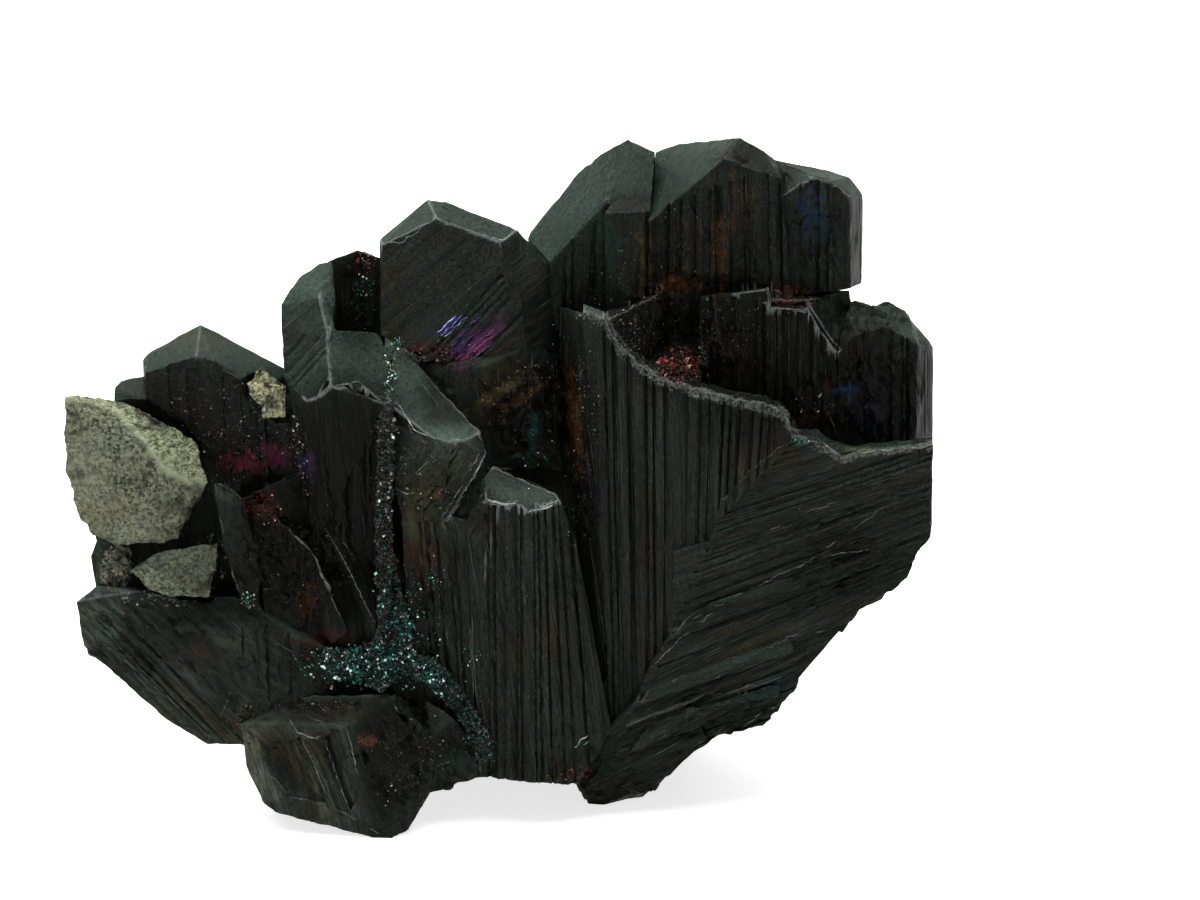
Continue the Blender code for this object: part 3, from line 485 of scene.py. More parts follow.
# Broken and drusy zones, as drawn: column, row, half width, half height, height of the lumps in mm.
BROKEN = (
    (700, 245, 100, 50, 0.13), (815, 235, 40, 46, 0.20), (732, 160, 26, 14, 0.20),
    (245, 478, 60, 50, 0.22), (285, 560, 75, 62, 0.30), (150, 640, 95, 55, 0.24),
    (250, 690, 70, 50, 0.20), (395, 750, 46, 64, 0.38), (455, 765, 46, 42, 0.26),
    (300, 760, 60, 60, 0.20), (436, 495, 42, 42, 0.24), (428, 610, 30, 120, 0.20),
    (585, 450, 20, 100, 0.26), (524, 410, 52, 52, 0.42), (450, 400, 40, 30, 0.18),
    (690, 352, 56, 46, 0.42), (655, 312, 46, 22, 0.26), (745, 360, 66, 62, 0.14),
    (874, 385, 52, 56, 0.30), (800, 405, 40, 34, 0.26), (868, 318, 46, 24, 0.36),
    (475, 500, 18, 40, 0.26), (320, 705, 70, 12, 0.26), (670, 282, 44, 20, 0.26),
    (725, 725, 80, 56, 0.18), (850, 580, 66, 60, 0.22), (610, 795, 70, 22, 0.30),
    (360, 270, 24, 34, 0.18), (790, 300, 36, 14, 0.20), (335, 655, 60, 20, 0.24), (190, 560, 60, 30, 0.2),
    (445, 355, 50, 14, 0.2), (500, 640, 20, 130, 0.05), (590, 765, 60, 20, 0.16),
)
# Broken rims, as drawn: half width in columns, brightness, then the corners of the line. The first is the
# plate's pale broken rim, brightened as a painted highlight; the others are thin painted highlights along
# edges.
RIMS = (
    (7, 1.0, (582, 312), (605, 320), (622, 352), (660, 380), (700, 393), (735, 401), (783, 413),
     (800, 440), (842, 460), (865, 452), (931, 445)),
    (5, 1.0, (486, 498), (528, 510), (562, 497)),
    (5, 1.0, (493, 466), (528, 480), (562, 497)),
    (5, 1.0, (388, 402), (410, 418), (432, 432), (458, 440), (482, 432)),
    (4, 0.6, (400, 360), (440, 395), (482, 432)),
    (5, 0.9, (307, 400), (333, 387), (358, 381), (370, 390), (388, 404)),
    (4, 0.8, (318, 296), (330, 330), (334, 387)),
    (4, 0.9, (384, 242), (410, 230), (440, 219), (470, 231), (502, 243), (524, 228)),
    (3, 0.7, (440, 219), (430, 202)),
    (4, 0.6, (430, 202), (480, 214), (524, 230)),
    (6, 0.8, (738, 292), (768, 288), (770, 308), (808, 308), (820, 330), (835, 352)),
    (5, 0.7, (605, 318), (625, 308), (645, 300), (660, 290)),
    (5, 0.6, (772, 300), (800, 302), (840, 306)),
    (4, 0.5, (785, 195), (800, 183), (815, 178), (830, 180), (848, 195)),
    (4, 0.5, (200, 324), (196, 355)),
    (4, 0.6, (295, 530), (318, 566), (340, 600)),
    (4, 0.5, (218, 484), (240, 540), (252, 600)),
    (4, 0.5, (640, 700), (690, 672), (740, 655)),
    (4, 0.45, (672, 632), (705, 612), (740, 595)),
    (4, 0.45, (630, 725), (700, 700), (780, 680)),
    (5, 0.5, (74, 600), (110, 592), (160, 596)),
    (3, 0.6, (487, 452), (466, 490), (445, 525)),
    (3, 0.5, (500, 498), (470, 640), (480, 770)),
)
# How light each zone is, as drawn: column, row, half width, half height, turn in degrees, gain, and the
# share of the painted top light that its faces looking upwards keep. The gains are partly the crystal's own
# tone and partly painted light and shade, such as the darkened hollow at (634, 330).
TONES = (
    (160, 655, 112, 66, 32, 2.20, 0.8), (214, 668, 10, 44, -20, 0.72, 0.9),
    (150, 640, 30, 8, 30, 0.75, 0.9), (98, 622, 26, 22, 0, 1.40, 1.0),  # ridged mass
    (300, 772, 62, 66, 0, 2.25, 1.0), (253, 752, 9, 26, -14, 1.80, 1.0),
    (268, 786, 17, 12, 38, 2.10, 1.0), (316, 773, 8, 38, -19, 2.20, 1.0),
    (337, 775, 5, 38, -18, 0.48, 1.0), (345, 790, 5, 24, -20, 2.00, 1.0),
    (280, 768, 10, 28, -28, 0.55, 1.0), (325, 820, 56, 8, 14, 0.95, 1.0),
    (368, 775, 14, 50, -14, 0.70, 0.8), (402, 765, 34, 66, 0, 1.00, 0.6),  # bottom crystal
    (436, 485, 48, 52, 0, 2.30, 1.0), (306, 335, 28, 66, 0, 1.35, 1.0), (345, 500, 50, 106, 5, 0.23, 1.0),
    (362, 352, 28, 24, 20, 1.15, 1.0), (430, 395, 60, 34, 40, 1.25, 1.0),
    (358, 300, 20, 44, 0, 0.60, 0.6), (450, 296, 76, 62, 0, 1.25, 1.0), (530, 645, 62, 138, 0, 1.05, 1.0),
    (525, 487, 42, 14, 8, 1.25, 1.0), (700, 690, 100, 56, -20, 1.02, 1.0),
    (830, 520, 84, 34, 0, 0.90, 1.0), (572, 196, 40, 66, 30, 1.20, 1.0), (632, 180, 26, 34, 0, 0.72, 1.0),
    (690, 170, 44, 36, -30, 0.85, 1.0), (740, 240, 120, 56, 0, 0.82, 1.0),
    (826, 240, 28, 52, 0, 1.28, 1.0), (766, 160, 36, 15, 24, 0.75, 0.0),
    (629, 205, 18, 11, 0, 0.70, 0.35), (878, 390, 46, 56, 0, 0.42, 0.6),
    (868, 322, 46, 22, 20, 1.70, 1.0), (927, 390, 9, 54, 0, 0.09, 0.5), (762, 360, 70, 78, 0, 0.42, 0.25),
    (672, 370, 34, 20, 0, 0.60, 0.2), (670, 350, 36, 28, 0, 0.78, 0.5), (790, 298, 30, 12, 0, 0.80, 0.4),
    (210, 420, 74, 56, 0, 0.66, 1.0), (290, 555, 78, 58, 20, 0.56, 0.8),
    (228, 490, 15, 10, 20, 3.40, 1.0), (238, 548, 12, 50, -10, 1.60, 1.0),
    (150, 598, 70, 10, 0, 0.80, 0.5),  # left crystal, blades
    (572, 415, 20, 72, -3, 0.60, 0.2), (530, 425, 40, 52, 0, 0.45, 0.15),
    (455, 395, 36, 30, 0, 1.05, 0.4), (320, 711, 74, 12, 0, 0.90, 0.25), (640, 790, 60, 16, 0, 1.00, 0.5),
    (460, 765, 36, 26, 0, 0.80, 0.6), (480, 520, 18, 40, 0, 0.90, 0.4), (634, 330, 27, 24, 0, 0.38, 0.15),
    (740, 274, 52, 13, 0, 1.90, 1.0), (538, 285, 16, 40, 0, 1.40, 1.0), (530, 398, 36, 22, 0, 0.48, 0.4),
    (408, 600, 16, 46, 0, 0.60, 0.7), (576, 610, 17, 92, 0, 0.68, 0.7), (102, 630, 22, 24, 0, 1.72, 1.0),
    (200, 612, 36, 14, 0, 0.52, 0.5), (315, 712, 30, 9, 0, 0.64, 0.5), (231, 525, 11, 40, 0, 1.60, 1.0),
    (129, 388, 15, 13, 0, 0.80, 0.85),
)
# Calm zones, where growth lines hardly show, as drawn: column, row, half width, half height, share of lines.
CALM = (
    (740, 235, 130, 66, 0.25), (590, 245, 34, 50, 0.4), (628, 205, 22, 12, 0.2), (445, 272, 66, 46, 0.15),
    (215, 420, 84, 76, 0.12), (880, 380, 52, 60, 0.25), (436, 490, 44, 44, 0.4), (455, 395, 40, 34, 0.3),
    (530, 425, 44, 56, 0.2), (290, 560, 84, 66, 0.4), (395, 760, 44, 70, 0.35), (868, 318, 50, 26, 0.1),
    (530, 645, 56, 136, 0.72), (640, 540, 62, 150, 0.75), (360, 350, 40, 30, 0.4),
    (440, 400, 50, 30, 0.45),
)
# Crystals of the back: foot, tip.
REAR = (
    ((-4, 15, 6), (-8, 26.5, 29)),
    ((8, 16, 5), (10.5, 29.5, 32)),
    ((14, 13, 11), (21, 23, 29)),
    ((-12, 11, 8), (-18.5, 19.5, 23)),
    ((1, 15, 8), (1.5, 30, 16)),
    ((11, 13, 9), (18, 25, 17)),
    ((-8, 11, 6), (-14.5, 22, 12.5)),
    ((6, 14, 7), (9, 26, 8.5)),
)


def broken_at(P):
    """How far the surface is lumpy and broken at each place, in mm."""
    col, row, depth = drawn(P)
    most = np.zeros(len(P))
    for x, y, wide, high, size in BROKEN:
        away = np.hypot((col - x) / wide, (row - y) / high)
        most = np.maximum(most, size * np.clip(1.6 - 1.3 * away, 0, 1))
    return np.where(depth < FRONT, most, 0.05)


def tone_at(P):
    """How much lighter each place is than plain crystal, partly painted light and shade, and the share of the
    painted top light that its faces looking upwards keep, less at the back.
    """
    col, row, depth = drawn(P)
    gain, tops = np.zeros(len(P)), np.ones(len(P))
    for x, y, wide, high, turn, light, keep in TONES:
        a = math.radians(turn)
        u = ((col - x) * math.cos(a) + (row - y) * math.sin(a)) / wide
        v = ((row - y) * math.cos(a) - (col - x) * math.sin(a)) / high
        near = np.clip(2.6 - 2.0 * (u ** 4 + v ** 4) ** 0.25, 0, 1)
        gain += near * math.log(light)
        tops *= 1 - near * (1 - keep)
    front = depth < FRONT
    behind = 1 - 0.4 * np.clip((depth - FRONT) / 6, 0, 1)
    return np.where(front, np.exp(gain), 1.0), np.where(front, tops, behind)


def lined_at(P):
    """How far the growth lines show at each place, from 0 to 1."""
    col, row, depth = drawn(P)
    least = np.ones(len(P))
    for x, y, wide, high, share in CALM:
        near = np.clip(2.4 - 2.0 * (((col - x) / wide) ** 4 + ((row - y) / high) ** 4) ** 0.25, 0, 1)
        least = np.minimum(least, 1 - near * (1 - share))
    return np.where(depth < FRONT, least, 1.0)


def rim_at(P, rims):
    """1 on a broken rim, where pale colour and painted highlight go, and 0 away from one."""
    col, row, depth = drawn(P)
    most = np.zeros(len(P))
    for wide, light, *line in rims:
        for (x0, y0), (x1, y1) in zip(line, line[1:]):
            dx, dy = x1 - x0, y1 - y0
            s = np.clip(((col - x0) * dx + (row - y0) * dy) / (dx * dx + dy * dy), 0, 1)
            away = np.hypot(col - x0 - s * dx, row - y0 - s * dy)
            most = np.maximum(most, light * np.clip(1.5 - away / wide, 0, 1))
    return np.where(depth < FRONT + 1, most, 0)


def run_in_face(n, dc, dr):
    """The direction in a face with normal n that is drawn as dc columns across and dr rows down."""
    b = np.array([dc, 0.0, 0.0]) - dr * UP
    k = INTO @ n
    if abs(k) < 0.25:
        b = np.array([0.0, 0.0, 1.0])
        b = b - n * (b @ n)
        return b / np.linalg.norm(b) if np.linalg.norm(b) > 0.2 else np.cross(n, [0.0, 1.0, 0.0])
    b = b - INTO * (b @ n) / k
    return b / np.linalg.norm(b)


def growth_lines(col, row):
    """The run, pitch, height and roughness of the lines on a face whose middle is drawn at col, row."""
    # The right part of the plate has long ridges that climb to the right.
    on_plate = col > 628 and row > 440 and not (row > 770 and col < 690)
    if on_plate and (col > 790 or row > 560 or col + (row - 440) * 0.9 > 800):
        rise = 0.28 + (row - 470) / 270 * 0.27
        return 1, -rise, 0.24, 0.13, 0.05
    for left, right, top, bottom, *lines in FACES:
        if left <= col <= right and top <= row <= bottom:
            return lines
    return 3, 100, 0.3, 0.06, 0.04


def growth_of(V, T, G):
    """For each flat face: its normal, the run of its lines, their pitch and height, and its roughness."""
    n, area = normals_of(V, T)
    count = G.max() + 1
    size = np.bincount(G, area)
    N = unit(summed(G, n * area[:, None], count))
    C = summed(G, V[T].mean(axis=1) * area[:, None], count) / np.maximum(size, 1e-9)[:, None]
    col, row, depth = drawn(C)
    D = np.zeros((count, 3))
    pitch, height, rough = np.full(count, 0.5), np.full(count, 0.06), np.full(count, 0.04)
    feet = np.array([[a[0] - SHIFT_X, a[1] - SHIFT_Y, a[2]] for a, b in REAR])
    axes = np.array([np.subtract(b, a) / np.linalg.norm(np.subtract(b, a)) for a, b in REAR])
    for g, nn in enumerate(N):
        if nn @ INTO > 0.1 or depth[g] > FRONT and nn @ INTO > -0.3:
            away = C[g] - feet
            along = (away * axes).sum(1)
            near = np.linalg.norm(away - axes * along[:, None], axis=1).argmin()
            axis = axes[near] if depth[g] > 12 else np.array([0.0, 0.0, 1.0])
            d = axis - nn * (axis @ nn)
            D[g] = d / np.linalg.norm(d) if np.linalg.norm(d) > 0.2 else run_in_face(nn, 1, 0.2)
            continue
        dc, dr, pitch[g], height[g], rough[g] = growth_lines(col[g], row[g])
        D[g] = run_in_face(nn, dc, dr)
        if nn @ INTO > -0.25:
            pitch[g] = 0.36
        if nn[2] > 0.55:
            height[g] = min(height[g], 0.03)
    fine = size < 0.5
    height[fine] *= 0.5
    return N, unit(D), pitch, height, rough, size, C


def ribs(q, t, face, pitch):
    """The height of growth lines, about -1 to 1: fine ribs on wider steps, each with an end along its run."""
    def level(i):
        """The height of rib number i at each place."""
        key = i * 7919 + face * 104729
        piece = np.floor(t / (4.0 + 9.0 * hashed(key, 3)) + 5 * hashed(key, 4))
        fine = hashed(key * 31 + piece, 5) - 0.5
        wide = np.floor(i / 4.0 + 0.6 * hashed(i // 4, 6))
        piece = np.floor(t / (9.0 + 9.0 * hashed(wide + face * 17, 7)) + 3 * hashed(wide, 8))
        middle = hashed(wide * 53 + piece + face * 977, 9) - 0.5
        broad = hashed(np.floor(i / 13.0 + 0.5 * hashed(i // 13, 10)) * 71 + face * 389, 11) - 0.5
        return 1.0 * fine + 0.8 * middle + 0.6 * broad

    x = q / pitch
    i = np.floor(x).astype(np.int64)
    f = x - i
    return level(i) * (1 - f) + level(i + 1) * f


def striated(name, worn=0.16):
    """The CAD node's crystals with real growth lines, broken edges and rough patches, as one closed mesh.

    It comes back as corners, triangles, the flat face of each triangle, the place of each triangle's corners
    across and along the growth lines, distances from ridges and valleys, and the faces' normals and lines.
    """
    V, T = read_node(name)
    low, high = V.min(axis=0), V.max(axis=0)
    G = coplanar(V, T)
    N, D, pitch, height, rough, size, C = growth_of(V, T, G)
    E = np.cross(N, D)
    n, _ = normals_of(V, T)
    a, b, t0, t1 = edge_table(V, T)
    bend = np.degrees(np.arccos(np.clip((n[t0] * n[t1]).sum(axis=1), -1, 1)))
    other = V[T[t1]].mean(axis=1) - V[T[t0]].mean(axis=1)
    convex = (other * n[t0]).sum(axis=1) < 0
    length = np.linalg.norm(V[a] - V[b], axis=1)
    sharp = convex & (bend > 28) & (length > 0.25)
    crease = ~convex & (bend > 25)
    ridge = samples_on(V, a[sharp], b[sharp], 0.15)
    valley = samples_on(V, a[crease], b[crease], 0.2)

    facing = (N @ INTO) < -0.1
    pitch_used = np.where(size > 0.5, pitch, 0.8)
    pitch_used[~facing] *= 1.3
    run = np.where(facing, 0.9, 1.7)
    lumpy = broken_at(C)
    run[facing & (lumpy > 0.1)] = 0.4
    pitch_used[facing & (lumpy > 0.1)] = np.maximum(pitch_used, 0.24)[facing & (lumpy > 0.1)]
    V, T, G = gridded(V, T, G, E, D, pitch_used, run)
    V, T, G = merged(V, T, G, 0.08)
    for _ in range(3):
        middle = V[T].mean(axis=1)
        front = facing[G]
        near = np.full(len(T), 9.0)
        near[front] = kd_distance(middle[front], ridge, 9.0)
        edge = np.linalg.norm(V[T] - V[np.roll(T, -1, axis=1)], axis=2)
        cut = np.where((edge > 0.5) & (near < 0.2)[:, None], 0.5, np.nan)
        if np.isnan(cut).all():
            break
        V, T, G = split(V, T, G, cut)
    to_ridge = kd_distance(V, ridge, 5.0)
    to_valley = kd_distance(V, valley, 5.0)

    corner = T.ravel()
    g = np.repeat(G, 3)
    P = V[corner]
    q, t = (P * E[g]).sum(axis=1), (P * D[g]).sum(axis=1)
    h = ribs(q, t, g, pitch_used[g]) * height[g]
    lump = broken_at(P)
    h = h * np.clip(1 - lump * 1.6, 0.3, 1)
    h += rough[g] * fbm(P, 0.9, 3, 40) + 0.05 * fbm(P, 5.0, 2, 50)
    rugged = P * (1.0, 1.0, 0.75)
    blocks = 1.1 * facets(rugged, 1.5, 41) + 0.8 * facets(rugged, 0.7, 51)
    h += lump * (blocks + 0.4 * fbm(P, 0.5, 2, 42) - 0.2)
    push = N[g] * h[:, None]
    faces_here = np.maximum(np.bincount(corner, minlength=len(V)), 1)
    move = summed(corner, push, len(V)) / faces_here[:, None]
    chip = np.clip(noise3(V / 0.55, 60) + 0.5 * noise3(V / 1.7, 61), 0, 1) * np.clip(1 - to_ridge / 0.3, 0, 1)
    move -= unit(summed(corner, N[g], len(V))) * (worn * chip)[:, None]
    move[V[:, 2] < 0.03] = 0
    V = np.clip(V + move, low, high)
    uv = np.stack([q + 37.0 * hashed(g, 70), t + 53.0 * hashed(g, 71)], 1)
    return V, T, G, uv, to_ridge, to_valley, N, D


# ------------------------------------------------------------------ materials

def times(colour, *factors):
    """A colour with its parts multiplied by one factor or by three, and held at 1 or less."""
    return tuple(min(1.0, c * k) for c, k in zip(colour, factors * 3 if len(factors) == 1 else factors))


class Paint:
    """A material with one Principled shader, and short ways to add what feeds it."""

    def __init__(self, name):
        self.material = bpy.data.materials.new(name)
        self.material.use_nodes = True
        self.tree = self.material.node_tree
        self.tree.nodes.clear()
        self.shader = self.add("ShaderNodeBsdfPrincipled")
        out = self.add("ShaderNodeOutputMaterial")
        self.tree.links.new(self.shader.outputs[0], out.inputs[0])
        coordinates = self.add("ShaderNodeTexCoord")
        self.place = self.vector("SCALE", coordinates.outputs["Object"], scale=1000.0)

    def add(self, kind, **settings):
        """A new node with these settings."""
        node = self.tree.nodes.new(kind)
        for key, value in settings.items():
            setattr(node, key, value)
        return node

    def put(self, socket, value):
        """Feed a socket from another node's socket, or set it to a number or a colour."""
        if isinstance(value, bpy.types.NodeSocket):
            self.tree.links.new(value, socket)
        elif isinstance(value, (tuple, list)) and len(value) == 3 and len(socket.default_value) == 4:
            socket.default_value = (*value, 1.0)
        else:
            socket.default_value = value

    def vector(self, operation, a, b=None, scale=None):
        """The outcome of one operation on vectors."""
        node = self.add("ShaderNodeVectorMath", operation=operation)
        self.put(node.inputs[0], a)
        if b is not None:
            self.put(node.inputs[1], b)
        if scale is not None:
            self.put(node.inputs["Scale"], scale)
        return node.outputs["Value" if operation in ("LENGTH", "DOT_PRODUCT") else "Vector"]

    def math(self, operation, a, b):
        """The outcome of one operation on two numbers."""
        node = self.add("ShaderNodeMath", operation=operation)
        self.put(node.inputs[0], a)
        self.put(node.inputs[1], b)
        return node.outputs[0]

    def product(self, a, b):
        """One number times another."""
        return self.math("MULTIPLY", a, b)

    def total(self, a, b):
        """The sum of two numbers."""
        return self.math("ADD", a, b)

    def noise(self, vector, scale, detail=3.0, roughness=0.55, flat=False):
        """Smooth noise, read in two dimensions where flat is set."""
        node = self.add("ShaderNodeTexNoise", noise_dimensions="2D" if flat else "3D")
        self.put(node.inputs["Vector"], vector)
        self.put(node.inputs["Scale"], scale)
        self.put(node.inputs["Detail"], detail)
        self.put(node.inputs["Roughness"], roughness)
        return node.outputs[0]

    def cells(self, vector, scale):
        """Round cells with a distance from their middle and a colour of their own."""
        node = self.add("ShaderNodeTexVoronoi")
        self.put(node.inputs["Vector"], vector)
        self.put(node.inputs["Scale"], scale)
        return node

    def span(self, value, low, high, to_low=0.0, to_high=1.0):
        """The value moved from the span low to high to the span to_low to to_high, and held inside it."""
        node = self.add("ShaderNodeMapRange", clamp=True)
        for socket, x in zip(node.inputs[:5], (value, low, high, to_low, to_high)):
            self.put(socket, x)
        return node.outputs[0]

    def mix(self, share, a, b, kind="MIX"):
        """Colour a with a share of colour b."""
        node = self.add("ShaderNodeMix", data_type="RGBA", blend_type=kind)
        self.put(node.inputs[0], share)
        self.put(node.inputs[6], a)
        self.put(node.inputs[7], b)
        return node.outputs[2]

    def shaded(self, base, factor):
        """A colour times a number."""
        return self.mix(1.0, base, self.vector("SCALE", (1.0, 1.0, 1.0), scale=factor), "MULTIPLY")

    def blend(self, share, a, b):
        """Number a with a share of number b."""
        node = self.add("ShaderNodeMix", data_type="FLOAT")
        for socket, x in zip((node.inputs[0], node.inputs[2], node.inputs[3]), (share, a, b)):
            self.put(socket, x)
        return node.outputs[0]

    def number(self, name):
        """A number that the mesh carries at its corners."""
        return self.add("ShaderNodeAttribute", attribute_name=name).outputs["Fac"]

    def colour(self, name):
        """A colour that the mesh carries at its corners."""
        return self.add("ShaderNodeAttribute", attribute_name=name).outputs["Color"]

    def bump(self, height, distance, strength=1.0):
        """Normals bent by fine relief; distance is in metres."""
        node = self.add("ShaderNodeBump")
        self.put(node.inputs["Strength"], strength)
        self.put(node.inputs["Distance"], distance)
        self.put(node.inputs["Height"], height)
        return node.outputs[0]

    def finish(self, base, roughness, normal=None, specular=0.5):
        """Feed the shader and hand over the material."""
        self.put(self.shader.inputs["Base Color"], base)
        self.put(self.shader.inputs["Roughness"], roughness)
        self.shader.inputs["Specular IOR Level"].default_value = specular
        if normal is not None:
            self.put(self.shader.inputs["Normal"], normal)
        return self.material


def dress(thing, material, node=None):
    """Give a piece its material and its slot, let it ride on the body, and put it in a node's place."""
    thing.data.materials.append(material)
    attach(thing, "root")
    if node:
        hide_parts(node)


# ------------------------------------------------------------------ the crystals

V, T, G, uv, to_ridge, to_valley, N, D = striated("chalcocite_cluster")
cluster = make_object("chalcocite_crystals", V, T)
layer = cluster.data.uv_layers.new(name="growth")
layer.data.foreach_set("uv", uv.astype(np.float32).ravel())
number_layer(cluster, "ridge", np.clip(1 - to_ridge / 0.45, 0, 1))
# Painted shade and dirt: darker near creases, weaker where the growth lines are calm.
number_layer(cluster, "valley", np.clip(1 - to_valley / 1.2, 0, 1) * (0.3 + 0.7 * lined_at(V)))
faces_at = np.maximum(np.bincount(T.ravel(), minlength=len(V)), 1)
lit = np.bincount(T.ravel(), np.repeat(topness(N[G]), 3), minlength=len(V)) / faces_at
tone, tops = tone_at(V)
# Painted top light: faces that look upwards get a lighter colour in the material, scaled by the tone zones.
number_layer(cluster, "painted_top_light", lit * tops)
number_layer(cluster, "tone", tone)
number_layer(cluster, "lined", lined_at(V) * (1 - 0.85 * lit))
# rim: the plate's pale broken rim with a painted highlight; edge: thin painted highlights along edges.
number_layer(cluster, "rim", rim_at(V, RIMS[:1]))
number_layer(cluster, "edge", rim_at(V, RIMS[1:]))
number_layer(cluster, "lumpy", broken_at(V))
tree_mm = BVHTree.FromPolygons(V.tolist(), T.tolist(), all_triangles=True)


def seen(column, row):
    """The place and the surface normal that a drawn spot meets from the front, in mm."""
    start = placed(column, row, -40.0)
    hit, normal, _, _ = tree_mm.ray_cast(Vector(start), Vector(INTO), 120.0)
    return (None, None) if hit is None else (np.array(hit), np.array(normal))


# Tarnish, as drawn: column, row, half width, half height, turn in degrees, depth in mm, colour, share, and
# 1 for a patch that shows only in streaks.
TARNISH = (
    (450, 328, 20, 8, -38, 3, (0.05, 0.05, 0.26), 0.7, 1),
    (480, 340, 34, 14, -40, 3, (0.16, 0.03, 0.16), 0.75, 1),
    (466, 358, 28, 8, -10, 3, (0.20, 0.025, 0.05), 0.7, 1),
    (478, 347, 24, 9, -38, 3, (0.22, 0.07, 0.24), 0.60, 0),
    (461, 349, 13, 8, -20, 3, (0.07, 0.06, 0.26), 0.55, 0),
    (492, 334, 20, 7, -40, 3, (0.13, 0.05, 0.12), 0.45, 0),
    (450, 326, 15, 7, -42, 3, (0.10, 0.08, 0.26), 0.50, 0),
    (425, 350, 24, 9, 0, 3, (0.15, 0.03, 0.03), 0.5, 1),
    (425, 318, 22, 26, -30, 3, (0.03, 0.03, 0.05), 0.5, 1),
    (246, 461, 22, 14, 8, 4, (0.24, 0.028, 0.075), 0.7, 0),
    (273, 455, 17, 12, 20, 4, (0.16, 0.022, 0.070), 0.6, 0),
    (308, 464, 14, 13, 30, 4, (0.060, 0.030, 0.110), 0.6, 0),
    (848, 389, 18, 7, 0, 4, (0.012, 0.060, 0.170), 0.55, 0),
    (828, 385, 6, 10, 0, 4, (0.12, 0.035, 0.016), 0.5, 0),
    (816, 222, 22, 34, 0, 4, (0.014, 0.035, 0.060), 0.6, 1),
    (786, 296, 24, 13, 6, 4, (0.12, 0.05, 0.04), 0.7, 0),
    (719, 258, 9, 44, 0, 3, (0.14, 0.055, 0.015), 0.9, 1),
    (680, 284, 24, 14, 0, 3, (0.15, 0.060, 0.016), 0.8, 0),
    (646, 250, 10, 46, 0, 3, (0.10, 0.085, 0.025), 0.9, 1),
    (575, 425, 9, 60, -6, 6, (0.13, 0.055, 0.018), 0.6, 0),
    (597, 498, 8, 24, 0, 5, (0.035, 0.02, 0.06), 0.5, 0),
    (534, 430, 10, 20, 0, 7, (0.014, 0.060, 0.060), 0.6, 0),
    (526, 462, 12, 16, 20, 7, (0.010, 0.045, 0.030), 0.4, 0),
    (500, 392, 36, 8, -34, 7, (0.11, 0.085, 0.035), 0.7, 0),
    (522, 398, 30, 6, -36, 7, (0.10, 0.060, 0.025), 0.55, 0),
    (424, 556, 24, 34, 0, 4, (0.060, 0.024, 0.016), 0.7, 0),
    (439, 494, 6, 6, 0, 3, (0.14, 0.06, 0.015), 0.6, 0),
    (308, 604, 10, 20, 10, 4, (0.13, 0.05, 0.015), 0.6, 0),
    (330, 640, 34, 12, 0, 4, (0.10, 0.02, 0.02), 0.5, 0),
    (368, 742, 12, 8, 10, 4, (0.24, 0.085, 0.050), 0.8, 0),
    (455, 768, 40, 22, -10, 4, (0.03, 0.055, 0.04), 0.6, 0),
    (650, 620, 24, 90, 4, 3, (0.04, 0.028, 0.016), 0.5, 1),
    (735, 370, 30, 30, 0, 4, (0.055, 0.018, 0.02), 0.5, 1),
    (800, 441, 9, 5, 0, 2, (0.03, 0.22, 0.17), 0.9, 0),
    (770, 690, 40, 14, -24, 3, (0.012, 0.045, 0.05), 0.5, 0),
    (700, 250, 30, 40, 0, 4, (0.060, 0.030, 0.016), 0.5, 1),
    (590, 240, 30, 46, 0, 4, (0.020, 0.050, 0.040), 0.4, 1),
    (870, 410, 36, 40, 0, 4, (0.010, 0.012, 0.022), 0.6, 0),
    (812, 415, 16, 16, 0, 5, (0.075, 0.030, 0.014), 0.6, 0),
    (856, 449, 26, 7, 8, 3, (0.10, 0.095, 0.045), 0.8, 0),
    (420, 500, 26, 40, 0, 4, (0.075, 0.060, 0.026), 0.6, 0),
    (455, 470, 16, 22, 30, 4, (0.060, 0.055, 0.028), 0.5, 0),
    (200, 340, 64, 12, 0, 4, (0.075, 0.070, 0.038), 0.6, 0),
    (205, 420, 60, 40, 0, 4, (0.013, 0.0085, 0.004), 0.55, 0),
    (200, 655, 18, 14, 0, 4, (0.070, 0.032, 0.020), 0.5, 0),
    (740, 200, 16, 40, 0, 4, (0.085, 0.036, 0.020), 0.6, 1),
    (812, 214, 14, 26, 0, 3, (0.020, 0.050, 0.110), 0.6, 0),
    (610, 245, 16, 26, 0, 4, (0.016, 0.060, 0.034), 0.5, 0),
    (500, 372, 34, 16, -22, 5, (0.050, 0.040, 0.018), 0.6, 0),
    (266, 508, 22, 14, 25, 4, (0.080, 0.022, 0.022), 0.6, 0),
    (560, 250, 20, 40, 0, 4, (0.02, 0.045, 0.04), 0.4, 1),
)


def tarnished(p, base, grain, streaks):
    """The base colour with the patches of tarnish over it."""
    blotch = p.span(p.noise(p.place, 1.4, 3.0, 0.7), 0.3, 0.7, -0.8, 0.8)
    for col, row, wide_px, high_px, turn, deep, colour, share, streaky in TARNISH:
        hit, _ = seen(col, row)
        if hit is None:
            continue
        offset = p.vector("SUBTRACT", p.place, tuple(hit))
        a = math.radians(turn)
        across = np.array([math.cos(a), 0, 0]) - math.sin(a) * UP
        down = np.array([math.sin(a), 0, 0]) + math.cos(a) * UP
        one = p.vector("DOT_PRODUCT", offset, tuple(across * 15.0 / wide_px))
        two = p.vector("DOT_PRODUCT", offset, tuple(down * 15.0 / high_px))
        three = p.vector("DOT_PRODUCT", offset, tuple(INTO / deep))
        joined = p.add("ShaderNodeCombineXYZ")
        for socket, value in zip(joined.inputs, (one, two, three)):
            p.put(socket, value)
        away = p.vector("LENGTH", joined.outputs[0])
        away = p.total(away, blotch)
        mask = p.product(p.span(away, 1.0, 0.45, 0.0, share), p.span(grain, 0.30, 0.62, 0.35, 1.0))
        if streaky:
            mask = p.product(mask, p.span(streaks, 0.66, 0.84, 0.12))
        base = p.mix(mask, base, times(colour, 0.45))
    return base


